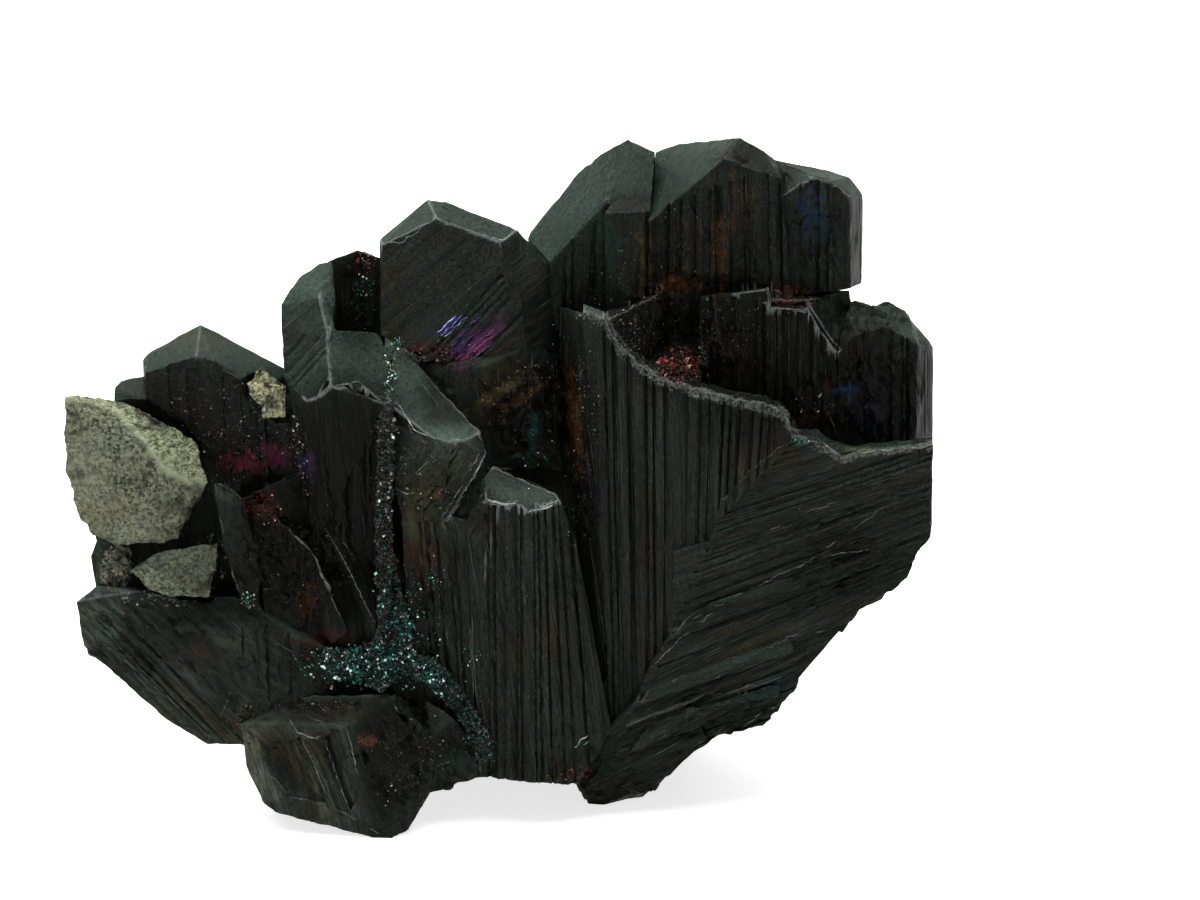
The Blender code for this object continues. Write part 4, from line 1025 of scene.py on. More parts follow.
def chalcocite():
    """Dark crystal with warm and cool bands, tarnish and dust, lighter tops as painted top light, painted
    highlights on edges and rims, painted glints on fine lines, and painted shade with dirt in the creases.
    """
    p = Paint("chalcocite")
    uv_node = p.add("ShaderNodeUVMap", uv_map="growth")
    lines = p.vector("MULTIPLY", uv_node.outputs[0], (1.0, 0.05, 1.0))
    fine = p.noise(lines, 9.0, 3.0, 0.6, flat=True)
    wide = p.noise(lines, 2.2, 2.0, 0.5, flat=True)
    hair = p.noise(p.vector("MULTIPLY", uv_node.outputs[0], (1.0, 0.02, 1.0)), 26.0, 2.0, 0.6, flat=True)
    grain = p.noise(p.place, 5.0, 4.0, 0.65)
    mottle = p.noise(p.place, 0.22, 3.0, 0.5)
    ridge, valley, painted_top_light = p.number("ridge"), p.number("valley"), p.number("painted_top_light")
    rim, lumpy, lined = p.number("rim"), p.number("lumpy"), p.number("lined")
    lines_tone = p.total(p.product(fine, 0.5), p.product(wide, 0.5))
    streak = p.blend(p.span(lined, 0.0, 1.0, 0.15, 0.8), grain, lines_tone)
    base = p.mix(p.span(streak, 0.40, 0.64), (0.0032, 0.0042, 0.0028), (0.0140, 0.0175, 0.0118))
    warm = p.mix(p.span(streak, 0.4, 0.64), (0.0046, 0.0041, 0.0023), (0.0158, 0.0142, 0.0080))
    cool = p.mix(p.span(streak, 0.4, 0.64), (0.0026, 0.0046, 0.0044), (0.0110, 0.0168, 0.0160))
    base = p.mix(p.span(mottle, 0.50, 0.66), base, warm)
    bands = p.vector("MULTIPLY", uv_node.outputs[0], (0.42, 0.05, 1.0))
    base = p.mix(p.span(p.noise(bands, 1.9, 1.0, 0.5, flat=True), 0.54, 0.68, 0.0, 0.45), base, cool)
    broad = p.span(p.noise(bands, 1.0, 3.0, 0.6, flat=True), 0.32, 0.68, 0.66, 1.40)
    base = p.shaded(base, broad)
    # Painted glints: light hairlines along the growth lines.
    line = p.product(p.product(p.span(hair, 0.58, 0.66), p.span(grain, 0.36, 0.52)), lined)
    base = p.mix(p.product(line, 0.7), base, (0.030, 0.036, 0.029))
    # Painted top light: the lighter colour, with a mealy grain, that faces looking upwards get.
    top = p.mix(p.span(streak, 0.3, 0.7), (0.0142, 0.0216, 0.0164), (0.025, 0.037, 0.028))
    mealy = p.span(p.noise(p.place, 3.2, 5.0, 0.7), 0.32, 0.68, 0.62, 1.38)
    top = p.shaded(top, mealy)
    base = p.mix(p.span(painted_top_light, 0.05, 0.95), base, top)
    base = p.shaded(base, p.number("tone"))
    base = p.mix(p.span(p.product(lumpy, p.span(grain, 0.3, 0.6)), 0.02, 0.2, 0.0, 0.7), base,
                 (0.0035, 0.0030, 0.0024))
    # Painted shade and dirt: darker brown near the creases.
    base = p.mix(p.product(p.span(valley, 0.7, 1.0, 0.0, 0.5), p.span(grain, 0.35, 0.6)), base,
                 (0.004, 0.0028, 0.0018))
    dull = p.span(grain, 0.25, 0.75, 0.7, 1.3)
    base = p.shaded(base, dull)
    base = tarnished(p, base, grain, p.total(wide, p.product(fine, 0.5)))
    # Painted highlight on the sharp ridges, stronger where they face upwards.
    edge_highlight = p.product(p.span(ridge, 0.76, 0.96), p.span(grain, 0.42, 0.58))
    edge_highlight = p.product(edge_highlight, p.span(painted_top_light, 0.0, 0.6, 0.2, 0.6))
    base = p.mix(edge_highlight, base, (0.045, 0.056, 0.048))
    # Painted highlight: thin pale lines along the edges listed in RIMS.
    thin_edge_highlight = p.product(p.span(p.number("edge"), 0.15, 0.7), p.span(ridge, 0.66, 0.84))
    thin_edge_highlight = p.product(thin_edge_highlight, p.span(grain, 0.34, 0.5, 0.35, 1.0))
    base = p.mix(thin_edge_highlight, base, (0.10, 0.11, 0.105))
    # The plate's pale broken rim, brightened further as a painted highlight.
    pale_rim_and_highlight = p.span(p.total(p.product(rim, p.span(ridge, 0.0, 0.5, 0.5, 1.0)),
                              p.span(grain, 0.3, 0.7, -0.4, 0.3)), 0.5, 0.9)
    rim_colour = p.mix(p.span(grain, 0.4, 0.6), (0.026, 0.029, 0.026), (0.10, 0.11, 0.095))
    base = p.mix(p.product(pale_rim_and_highlight, 0.8), base, rim_colour)
    dust = p.cells(p.place, 1.5)
    pick = p.add("ShaderNodeSeparateColor")
    p.put(pick.inputs[0], dust.outputs["Color"])
    dot = p.product(p.math("LESS_THAN", dust.outputs["Distance"], 0.07),
                    p.math("GREATER_THAN", pick.outputs[0], 0.82))
    base = p.mix(p.product(dot, 0.7), base, (0.09, 0.09, 0.075))
    mixed = p.total(p.product(fine, 0.5), p.product(grain, 0.5))
    rough = p.span(mixed, 0.3, 0.7, 0.34, 0.58)
    height = p.total(p.product(fine, 1.0), p.product(hair, 0.35))
    height = p.product(height, p.span(lined, 0.0, 1.0, 0.2, 1.0))
    height = p.total(height, p.product(grain, 0.5))
    normal = p.bump(height, 0.00010, 0.8)
    return p.finish(base, rough, normal, specular=0.05)


dress(cluster, chalcocite(), "chalcocite_cluster")


# ------------------------------------------------------------------ thin ledges

# Pale colour of the painted highlights and glints on the thin ledges.
PALE_HIGHLIGHT = (0.30, 0.335, 0.30)
BLUE = (0.22, 0.26, 0.85)
VIOLET = (0.24, 0.06, 0.42)
PINK = (0.62, 0.10, 0.34)
# Thin broken edges, as drawn: width in mm, brightness, share that is there, colour, corners of the line. The
# pale ones are painted highlights and glints; the blue, violet and pink ones are tarnish.
LEDGES = (
    (0.15, 1.35, 0.9, PALE_HIGHLIGHT, (487, 499), (505, 504), (521, 501)),
    (0.15, 1.35, 0.9, PALE_HIGHLIGHT, (527, 511), (545, 508), (561, 499)),
    (0.10, 1.0, 0.9, PALE_HIGHLIGHT, (486, 498), (503, 503), (520, 500), (528, 510), (545, 506), (562, 497)),
    (0.10, 1.1, 0.9, PALE_HIGHLIGHT, (493, 466), (528, 480), (562, 497)),
    (0.06, 0.5, 0.7, PALE_HIGHLIGHT, (498, 474), (528, 487), (556, 500)),
    (0.10, 1.0, 0.9, PALE_HIGHLIGHT, (378, 395), (400, 405), (415, 430), (440, 440), (465, 440), (482, 432)),
    (0.05, 0.4, 0.7, PALE_HIGHLIGHT, (400, 400), (436, 420), (470, 435)),
    (0.06, 0.4, 0.6, PALE_HIGHLIGHT, (398, 345), (440, 390), (482, 432)),
    (0.09, 0.55, 0.9, PALE_HIGHLIGHT, (307, 400), (321, 396), (333, 387), (358, 381), (370, 390), (388, 404)),
    (0.09, 0.35, 0.8, PALE_HIGHLIGHT, (318, 296), (330, 330), (334, 387)),
    (0.06, 0.35, 0.7, PALE_HIGHLIGHT, (342, 330), (360, 333), (390, 333)),
    (0.08, 0.5, 0.8, PALE_HIGHLIGHT, (384, 242), (402, 243), (437, 219), (470, 231)),
    (0.11, 1.3, 0.9, PALE_HIGHLIGHT, (470, 231), (502, 241), (523, 227)),
    (0.07, 0.5, 0.7, PALE_HIGHLIGHT, (437, 219), (429, 201)),
    (0.06, 0.45, 0.7, PALE_HIGHLIGHT, (440, 207), (480, 222), (518, 236)),
    (0.08, 0.55, 0.8, PALE_HIGHLIGHT, (738, 292), (768, 289), (770, 308), (808, 309), (820, 330), (835, 352)),
    (0.08, 0.5, 0.8, PALE_HIGHLIGHT, (606, 316), (625, 308), (645, 300), (662, 292)),
    (0.06, 0.35, 0.7, PALE_HIGHLIGHT, (772, 300), (806, 301)),
    (0.06, 0.4, 0.7, PALE_HIGHLIGHT, (785, 195), (800, 183), (815, 178), (830, 180), (848, 195)),
    (0.06, 0.30, 0.8, PALE_HIGHLIGHT, (200, 326), (196, 356)),
    (0.05, 0.25, 0.7, PALE_HIGHLIGHT, (161, 372), (179, 378), (196, 356), (246, 381)),
    (0.08, 0.30, 0.7, PALE_HIGHLIGHT, (213, 487), (224, 530), (234, 575), (244, 604)),
    (0.06, 0.25, 0.6, PALE_HIGHLIGHT, (222, 482), (240, 492), (246, 503)),
    (0.12, 0.35, 0.8, PALE_HIGHLIGHT, (293, 534), (308, 547), (318, 562), (324, 580)),
    (0.07, 0.2, 0.7, PALE_HIGHLIGHT, (324, 580), (334, 602), (345, 626)),
    (0.08, 0.35, 0.9, PALE_HIGHLIGHT, (325, 528), (340, 552), (352, 575), (366, 605), (376, 623)),
    (0.06, 0.25, 0.6, PALE_HIGHLIGHT, (336, 528), (343, 540), (352, 556)),
    (0.06, 0.2, 0.6, PALE_HIGHLIGHT, (262, 590), (276, 588), (292, 588)),
    (0.10, 0.9, 0.8, PALE_HIGHLIGHT, (487, 453), (468, 488), (447, 523)),
    (0.06, 0.7, 0.7, PALE_HIGHLIGHT, (481, 452), (460, 488), (441, 520)),
    (0.06, 0.5, 0.6, PALE_HIGHLIGHT, (430, 460), (419, 470), (408, 479)),
    (0.06, 0.6, 0.6, PALE_HIGHLIGHT, (395, 488), (408, 494), (422, 492)),
    (0.08, 0.6, 0.6, PALE_HIGHLIGHT, (424, 524), (430, 508), (442, 502)),
    (0.06, 0.4, 0.6, PALE_HIGHLIGHT, (404, 414), (416, 440), (438, 462)),
    (0.07, 0.30, 0.7, PALE_HIGHLIGHT, (242, 726), (256, 738), (264, 760)),
    (0.10, 0.65, 0.9, PALE_HIGHLIGHT, (289, 718), (298, 733), (320, 739)),
    (0.10, 0.60, 0.9, PALE_HIGHLIGHT, (346, 727), (353, 752), (358, 777)),
    (0.07, 0.28, 0.8, PALE_HIGHLIGHT, (288, 797), (320, 803), (346, 814), (382, 836)),
    (0.06, 0.35, 0.7, PALE_HIGHLIGHT, (300, 713), (322, 722), (346, 727)),
    (0.06, 0.25, 0.7, PALE_HIGHLIGHT, (398, 700), (408, 722), (418, 745)),
    (0.05, 0.2, 0.6, PALE_HIGHLIGHT, (404, 790), (420, 768), (428, 745)),
    (0.07, 0.30, 0.7, PALE_HIGHLIGHT, (76, 602), (96, 590), (128, 595)),
    (0.07, 0.30, 0.7, PALE_HIGHLIGHT, (112, 652), (110, 630), (122, 606)),
    (0.06, 0.25, 0.6, PALE_HIGHLIGHT, (100, 640), (116, 656), (150, 662)),
    (0.06, 0.25, 0.6, PALE_HIGHLIGHT, (230, 618), (255, 648), (262, 690)),
    (0.07, 0.30, 0.7, PALE_HIGHLIGHT, (232, 690), (205, 744)),
    (0.06, 0.30, 0.7, PALE_HIGHLIGHT, (276, 642), (292, 652), (300, 668)),
    # A small shiny facet, pale and whitish teal: a painted glint.
    (0.09, 1.3, 1.0, PALE_HIGHLIGHT, (574, 749), (582, 739), (592, 735)),
    (0.07, 0.9, 1.0, (0.24, 0.40, 0.34), (580, 747), (590, 741)),
    (0.07, 0.45, 0.9, PALE_HIGHLIGHT, (302, 738), (312, 760), (324, 790), (330, 806)),
    (0.08, 0.55, 0.9, PALE_HIGHLIGHT, (324, 738), (334, 768), (349, 811)),
    (0.07, 0.40, 0.9, PALE_HIGHLIGHT, (303, 738), (322, 737)),
    (0.07, 0.35, 0.8, PALE_HIGHLIGHT, (242, 735), (256, 745), (263, 768)),
    (0.07, 0.35, 0.8, PALE_HIGHLIGHT, (258, 769), (276, 780), (288, 796)),
    (0.14, 1.2, 1.0, PALE_HIGHLIGHT, (817, 398), (820, 394), (823, 391)),
    (0.11, 0.55, 0.8, (0.34, 0.30, 0.24), (824, 401), (831, 418), (838, 436)),
    (0.16, 1.0, 1.0, PALE_HIGHLIGHT, (303, 698), (306, 697), (309, 698)),
    (0.10, 0.9, 0.9, PALE_HIGHLIGHT, (394, 704), (397, 710), (400, 716)),
    (0.06, 1.2, 1.0, BLUE, (440, 337), (463, 315)),
    (0.06, 1.7, 1.0, (0.6, 0.62, 0.8), (444, 338), (468, 315)),
    (0.06, 1.4, 1.0, (0.5, 0.5, 0.85), (437, 333), (456, 315)),
    (0.05, 0.9, 0.9, VIOLET, (450, 345), (482, 315)),
    (0.06, 0.6, 1.0, PINK, (452, 362), (500, 325)),
    (0.05, 0.9, 1.0, PINK, (458, 363), (497, 333)),
    (0.05, 0.5, 0.9, VIOLET, (448, 355), (490, 322)),
    (0.05, 0.7, 0.9, (0.5, 0.16, 0.45), (466, 363), (503, 336)),
    (0.05, 0.5, 0.8, (0.16, 0.12, 0.5), (446, 350), (474, 328)),
    (0.07, 0.25, 0.7, PALE_HIGHLIGHT, (640, 700), (690, 672), (740, 655)),
    (0.07, 0.22, 0.7, PALE_HIGHLIGHT, (672, 632), (705, 612), (740, 595)),
    (0.07, 0.22, 0.7, PALE_HIGHLIGHT, (630, 725), (700, 700), (780, 680)),
    (0.06, 0.2, 0.7, PALE_HIGHLIGHT, (721, 500), (760, 461), (790, 440)),
    (0.10, 0.26, 0.8, PALE_HIGHLIGHT, (747, 591), (790, 569), (827, 555), (870, 549)),
    (0.09, 0.34, 0.9, PALE_HIGHLIGHT, (654, 665), (685, 634), (713, 612)),
    (0.08, 0.24, 0.7, PALE_HIGHLIGHT, (713, 680), (759, 652), (796, 634), (845, 628)),
    (0.10, 0.30, 0.9, PALE_HIGHLIGHT, (740, 730), (765, 711), (787, 702)),
    (0.08, 0.22, 0.7, PALE_HIGHLIGHT, (796, 569), (845, 535), (885, 505)),
    (0.07, 0.20, 0.7, PALE_HIGHLIGHT, (759, 535), (808, 511), (857, 495)),
    (0.08, 0.9, 0.8, PALE_HIGHLIGHT, (583, 313), (605, 320), (613, 338), (640, 366), (662, 380), (700, 391),
     (735, 400), (764, 403), (783, 413)),
    (0.08, 0.8, 0.8, PALE_HIGHLIGHT, (784, 414), (792, 434), (818, 439), (842, 458), (870, 451), (931, 446)),
    (0.06, 0.7, 0.6, PALE_HIGHLIGHT, (590, 318), (603, 326), (616, 346), (644, 374), (668, 388), (704, 398)),
)


def met(point):
    """The place on the crystals that lies before or behind a place, and the number of the face there."""
    hit, _, index, _ = tree_mm.ray_cast(Vector(point - INTO * 80), Vector(INTO), 160.0)
    return (None, None) if hit is None else (np.array(hit), G[index])


def drawn_runs(corners, share, seed):
    """Runs of places on the crystals under a drawn line, wavering a little, with gaps."""
    runs, run, last, k = [], [], None, 0
    for (x0, y0), (x1, y1) in zip(corners, corners[1:]):
        steps = max(1, int(math.hypot(x1 - x0, y1 - y0) / 2.5))
        for i in range(steps):
            t = (i + 0.5) / steps
            k += 1
            waver = 1.6 * (hashed(k // 2, seed) - 0.5)
            here, _ = met(placed(x0 + (x1 - x0) * t + waver, y0 + (y1 - y0) * t + waver, 0.0))
            gone = here is None or hashed(k // 5, seed + 1) > share
            if gone or last is not None and np.linalg.norm(here - last) > 0.8:
                runs.append(run)
                run = []
            last = None if gone else here
            if not gone:
                run.append(here)
    return runs + [run]


def growth_runs(count, seed):
    """Runs of places along the growth lines of the front: (face number, places)."""
    runs = []
    for k in range(count):
        here, g = met(placed(55 + 885 * hashed(k, seed), 135 + 710 * hashed(k, seed + 1), 0.0))
        if here is None or N[g] @ INTO > -0.2:
            continue
        if hashed(k, seed + 3) > lined_at(here[None])[0] * (1.0 - 0.8 * topness(N[g])):
            continue
        steps = int(3 + 18 * hashed(k, seed + 2) ** 1.6)
        run = [here]
        for way in (1, -1):
            at = here
            for _ in range(steps):
                following, face = met(at + way * 0.42 * D[g])
                if following is None or face != g or np.linalg.norm(following - at) > 0.6:
                    break
                run.insert(0 if way < 0 else len(run), following)
                at = following
        if len(run) > 3:
            runs.append((g, run))
    return runs


def tents(name, pieces):
    """Thin closed ridges as one mesh; a piece is places, an outward direction, width, height and colour."""
    all_V, all_T, all_C, start = [], [], [], 0
    for k, (places, out, width, height, colour) in enumerate(pieces):
        count = len(places)
        if count < 3:
            continue
        P = np.array(places)
        along = np.gradient(P, axis=0)
        side = unit(np.cross(out, along))
        i = np.arange(count)
        swell = np.sin(np.pi * (i + 0.5) / count) ** 0.5 * (0.6 + 0.8 * hashed(i + 977 * k, 301))
        half = (0.5 * width * swell)[:, None]
        rise = (height * swell)[:, None]
        rings = np.stack([P + side * half - out * 0.03, P - side * half - out * 0.03, P + out * rise], 1)
        all_V.append(rings.reshape(-1, 3))
        base = start + 3 * i[:-1]
        for a in range(3):
            b = (a + 1) % 3
            all_T.append(np.stack([base + a, base + a + 3, base + b], 1))
            all_T.append(np.stack([base + b, base + a + 3, base + b + 3], 1))
        all_T.append(np.array([[start, start + 1, start + 2]]))
        end = start + 3 * (count - 1)
        all_T.append(np.array([[end, end + 2, end + 1]]))
        light = 0.6 + 0.8 * hashed(i + 977 * k, 302)
        all_C.append(np.repeat(np.array(colour)[None] * light[:, None], 3, axis=0))
        start += 3 * count
    made = make_object(name, inside_cad(np.concatenate(all_V)), np.concatenate(all_T))
    colour_layer(made, "tint", np.concatenate(all_C))
    return made


def ledge_paint():
    """The ledges' colours, pale painted highlights and glints, tarnish and darker tints, broken up by darker
    grain.
    """
    p = Paint("chalcocite_ledge")
    grain = p.noise(p.place, 6.0, 3.0, 0.6)
    base = p.mix(p.span(grain, 0.35, 0.6, 0.0, 0.6), p.colour("tint"), (0.010, 0.012, 0.010))
    return p.finish(base, p.span(grain, 0.3, 0.7, 0.35, 0.55), specular=0.12)


def edge_pieces():
    """The broken edges of LEDGES, whose pale colours paint highlights: places, outward direction, width,
    height, colour.
    """
    facing = UP * 0.55 - INTO * 0.85
    return [(run, facing, width, 0.045, np.array(colour) * light)
            for k, (width, light, share, colour, *corners) in enumerate(LEDGES)
            for run in drawn_runs(corners, share, 400 + 7 * k)]


def growth_pieces():
    """Short ledges along the growth lines, some of them dark or tinted, and lighter on the tops as painted
    top light.
    """
    pieces = []
    tints = ((0.030, 0.024, 0.013), (0.012, 0.024, 0.022), (0.026, 0.027, 0.014))
    for k, (g, run) in enumerate(growth_runs(2300, 600)):
        top = topness(N[g])
        # Painted top light: ledges on faces that look upwards get the lighter colour.
        plain = np.array((0.021, 0.0255, 0.020)) * (1 - top) + np.array((0.045, 0.058, 0.050)) * top
        kind = hashed(k, 611)
        if kind < 0.28:
            colour = plain * 0.25
        elif kind < 0.45:
            colour = np.array(tints[int(3 * hashed(k, 612))])
        else:
            colour = plain * (0.7 + 1.3 * hashed(k, 613) ** 2)
        gain, _ = tone_at(np.array(run[:1]))
        width, height = 0.05 + 0.07 * hashed(k, 614), 0.012 + 0.028 * hashed(k, 615)
        pieces.append((run, N[g], width, height, colour * min(gain[0], 1.25)))
    return pieces


ledge_look = ledge_paint()
dress(tents("broken_edges", edge_pieces()), ledge_look)
dress(tents("growth_ledges", growth_pieces()), ledge_look)


# ------------------------------------------------------------------ rock chips

# The crest between the front of the upper chip and its crumbly upper side, as drawn.
CREST = ((84, 399), (113, 406), (145, 440), (165, 468), (190, 481), (214, 485))


def fractured(name, made_name, size, seed, bumps):
    """A CAD node's rock with its broken, granular surface."""
    V, T = read_node(name)
    low, high = V.min(axis=0), V.max(axis=0)
    V, T, _ = shorten(V, T, np.zeros(len(T), int), np.array([size]))
    push = bumps * (fbm(V, 1.6, 3, seed) + 0.8 * facets(V, 1.1, seed + 20))
    push += 0.05 * noise3(V / 0.32, seed + 9) + 0.035 * noise3(V / 0.17, seed + 10)
    push -= bumps * 1.6 * np.clip(noise3(V / 1.0, seed + 11) - 0.25, 0, 1)
    V = np.clip(V + outward(V, T) * (push - 0.04)[:, None], low, high)
    made = make_object(made_name, V, T)
    col, row, _ = drawn(V)
    number_layer(made, "height", push)
    crest_row = np.interp(col, *zip(*CREST))
    over = crest_row - row
    under = row - 563 - (col - 143) * 0.55
    band = {"matrix_chip_upper": np.clip(0.6 + over / 5, 0, 1),
            "matrix_chip_lower": np.clip(0.4 + under / 6, 0, 1)}
    number_layer(made, "band", band.get(name, np.zeros(len(V))))
    number_layer(made, "crest", 0.9 * np.exp(-(over / 4.2) ** 2) * (name == "matrix_chip_upper"))
    left = np.clip(1.3 - np.hypot((col - 84) / 26, (row - 468) / 36), 0, 1)
    foot = np.clip(1.3 - np.hypot((col - 140) / 26, (row - 532) / 16), 0, 1)
    number_layer(made, "pale", np.maximum(left, 0.6 * foot))
    # Painted shade on the shadowed lower right side of the upper chip.
    painted_side_shade = np.clip(1.5 - np.hypot((col - 208) / 24, (row - 522) / 34), 0, 1)
    number_layer(made, "painted_side_shade", painted_side_shade * (name == "matrix_chip_upper"))
    return made


def host_rock(name, pale, dark, grit):
    """Sandy rock in two tones with dark grit, a lighter crumbly side and crest, and painted shade in its pits
    and on the upper chip's lower right side.
    """
    p = Paint(name)
    patch = p.noise(p.place, 0.45, 3.0, 0.6)
    sand = p.noise(p.place, 3.4, 5.0, 0.8)
    grain = p.cells(p.place, 5.2)
    tone = p.add("ShaderNodeSeparateColor")
    p.put(tone.inputs[0], grain.outputs["Color"])
    base = p.mix(p.span(sand, 0.42, 0.58), dark, pale)
    base = p.mix(p.span(tone.outputs[0], 0.5, 1.0, 0.0, 0.6), base, times(pale, 1.5))
    base = p.mix(p.span(tone.outputs[1], 0.70, 0.80, 0.0, grit), base, times(dark, 0.25))
    base = p.mix(p.span(patch, 0.5, 0.7, 0.0, 0.4), base, times(pale, 1.05, 0.95, 0.62))
    crumbly = p.total(p.number("band"), p.span(sand, 0.3, 0.7, -0.35, 0.35))
    base = p.mix(p.span(crumbly, 0.35, 0.75, 0.0, 0.9), base,
                 p.mix(p.span(sand, 0.44, 0.56), times(dark, 0.9), times(pale, 1.80, 1.95, 1.70)))
    base = p.mix(p.product(p.number("pale"), 0.30), base, times(pale, 1.9))
    base = p.mix(p.number("crest"), base, times(pale, 1.9))
    # Painted shade: darker where the surface sinks into pits.
    base = p.mix(p.span(p.number("height"), -0.02, -0.20, 0.0, 0.7), base, times(dark, 0.35))
    # Painted shade: dark brown on the upper chip's lower right side.
    side_shade_mask = p.total(p.number("painted_side_shade"), p.span(sand, 0.3, 0.7, -0.3, 0.3))
    base = p.mix(p.span(side_shade_mask, 0.35, 0.75, 0.0, 0.85), base, (0.016, 0.014, 0.010))
    height = p.total(p.product(sand, 1.0), p.product(grain.outputs["Distance"], -0.6))
    return p.finish(base, p.span(sand, 0.3, 0.7, 0.75, 0.95), p.bump(height, 0.0003, 1.0), specular=0.2)


grey = host_rock("host_rock", (0.176, 0.190, 0.124), (0.066, 0.073, 0.047), 0.8)
lower_grey = host_rock("host_rock_lower", (0.102, 0.112, 0.078), (0.038, 0.045, 0.031), 0.6)
pale = host_rock("pale_rock", (0.350, 0.355, 0.225), (0.10, 0.10, 0.058), 0.8)
for node, made_name, size, seed, bumps, material, slot in (
        ("matrix_chip_upper", "rock_chip_upper", 0.20, 101, 0.14, grey, "host_rock"),
        ("matrix_chip_lower", "rock_chip_lower", 0.20, 121, 0.12, lower_grey, "host_rock_lower"),
        ("matrix_crumb", "pale_rock_crumb", 0.13, 141, 0.30, pale, "pale_rock")):
    dress(fractured(node, made_name, size, seed, bumps), material, node)


# ------------------------------------------------------------------ druse

def crystals(name, centres, normals, sizes, colours, seed, tall=1.3):
    """Many small eight-faced crystals as one mesh, each turned its own way."""
    count = len(centres)
    k = np.arange(count)
    corners = np.array([(1, 0, 0), (0, 1, 0), (-1, 0, 0), (0, -1, 0), (0, 0, 1), (0, 0, -1)], float)
    faces = np.array([(0, 1, 4), (1, 2, 4), (2, 3, 4), (3, 0, 4), (1, 0, 5), (2, 1, 5), (3, 2, 5), (0, 3, 5)])
    z = unit(normals + 0.9 * (np.stack([hashed(k, seed + i) for i in range(3)], 1) - 0.5))
    x = unit(np.cross(z, np.stack([hashed(k, seed + 3 + i) for i in range(3)], 1) - 0.5))
    y = np.cross(z, x)
    stretch = np.stack([0.7 + 0.6 * hashed(k, seed + 6), 0.7 + 0.6 * hashed(k, seed + 7),
                        tall * (0.7 + 0.6 * hashed(k, seed + 8))], 1) * sizes[:, None]
    place = centres[:, None] + sum(corners[None, :, i, None] * (stretch[:, i, None] * (x, y, z)[i])[:, None]
                                   for i in range(3))
    V = place.reshape(-1, 3)
    T = (faces[None] + 6 * k[:, None, None]).reshape(-1, 3)
    made = make_object(name, inside_cad(V), T)
    colour_layer(made, "tint", np.repeat(colours, 6, axis=0))
    return made


def druse(name):
    """Glassy small crystals, each with its own tint."""
    p = Paint(name)
    mottle = p.noise(p.place, 12.0, 2.0, 0.6)
    base = p.mix(p.span(mottle, 0.3, 0.7, 0.0, 0.4), p.colour("tint"), (0.006, 0.009, 0.007))
    return p.finish(base, p.span(mottle, 0.3, 0.7, 0.20, 0.45), specular=0.25)


def picked(palette, count, seed):
    """A colour for each crystal from (share, colour) pairs, each a little lighter or darker."""
    shares = np.cumsum([share for share, _ in palette])
    choice = np.searchsorted(shares / shares[-1], hashed(np.arange(count), seed))
    colours = np.array([c for _, c in palette])[np.minimum(choice, len(palette) - 1)]
    return colours * (0.6 + 0.9 * hashed(np.arange(count), seed + 1))[:, None]


TEAL = ((9, (0.0020, 0.010, 0.008)), (5, (0.005, 0.040, 0.030)), (2.8, (0.02, 0.19, 0.145)),
        (2.2, (0.66, 0.92, 0.82)), (7, (0.003, 0.005, 0.004)))
OLIVE = ((9, (0.008, 0.0085, 0.006)), (4, (0.028, 0.028, 0.019)), (1, (0.34, 0.33, 0.24)),
         (0.6, (0.012, 0.06, 0.04)), (7, (0.0035, 0.003, 0.0022)))
RED = ((4, (0.13, 0.010, 0.008)), (1.5, (0.17, 0.050, 0.018)), (7, (0.012, 0.004, 0.003)),
       (0.5, (0.50, 0.30, 0.24)), (1, (0.03, 0.035, 0.018)))
DIM = ((8, (0.002, 0.008, 0.006)), (3, (0.006, 0.045, 0.036)), (0.5, (0.36, 0.55, 0.47)))
GLINT = ((5, (0.012, 0.012, 0.009)), (2, (0.10, 0.098, 0.075)), (1, (0.36, 0.35, 0.29)),
         (1, (0.11, 0.045, 0.020)))
RUST = ((3, (0.050, 0.020, 0.007)), (7, (0.012, 0.007, 0.004)), (2, (0.030, 0.028, 0.015)),
        (0.6, (0.18, 0.15, 0.10)))
DARK = ((6, (0.005, 0.0045, 0.0035)), (3, (0.013, 0.012, 0.008)), (0.7, (0.09, 0.088, 0.065)),
        (1, (0.020, 0.010, 0.006)))
ROCK = ((3, (0.12, 0.12, 0.09)), (2, (0.06, 0.06, 0.045)), (1, (0.24, 0.23, 0.17)))
MINT = ((2, (0.60, 0.82, 0.72)), (3, (0.04, 0.28, 0.20)), (3, (0.004, 0.03, 0.022)), (1, (0.20, 0.16, 0.03)))


def lumpy_skin(node, made_name):
    """The CAD node's druse with a lumpy, blocky surface."""
    V, T = read_node(node)
    low, high = V.min(axis=0), V.max(axis=0)
    V, T, _ = shorten(V, T, np.zeros(len(T), int), np.array([0.4]))
    V = np.clip(V + outward(V, T) * (0.16 * facets(V, 0.55, 160) - 0.04)[:, None], low, high)
    return make_object(made_name, V, T), V, T


def crust_paint():
    """Dark olive druse that turns teal further down."""
    p = Paint("malachite_druse")
    grain = p.cells(p.place, 7.0)
    tone = p.add("ShaderNodeSeparateColor")
    p.put(tone.inputs[0], grain.outputs["Color"])
    low = p.vector("DOT_PRODUCT", p.place, tuple(UP))
    teal = p.mix(tone.outputs[0], (0.002, 0.006, 0.0045), (0.005, 0.028, 0.022))
    olive = p.mix(tone.outputs[0], (0.0025, 0.0025, 0.0018), (0.010, 0.010, 0.007))
    base = p.mix(p.span(low, 22.0, 15.0), olive, teal)
    height = p.product(grain.outputs["Distance"], -1.0)
    rough = p.span(tone.outputs[1], 0.0, 1.0, 0.4, 0.7)
    return p.finish(base, rough, p.bump(height, 0.0001, 0.9), specular=0.2)


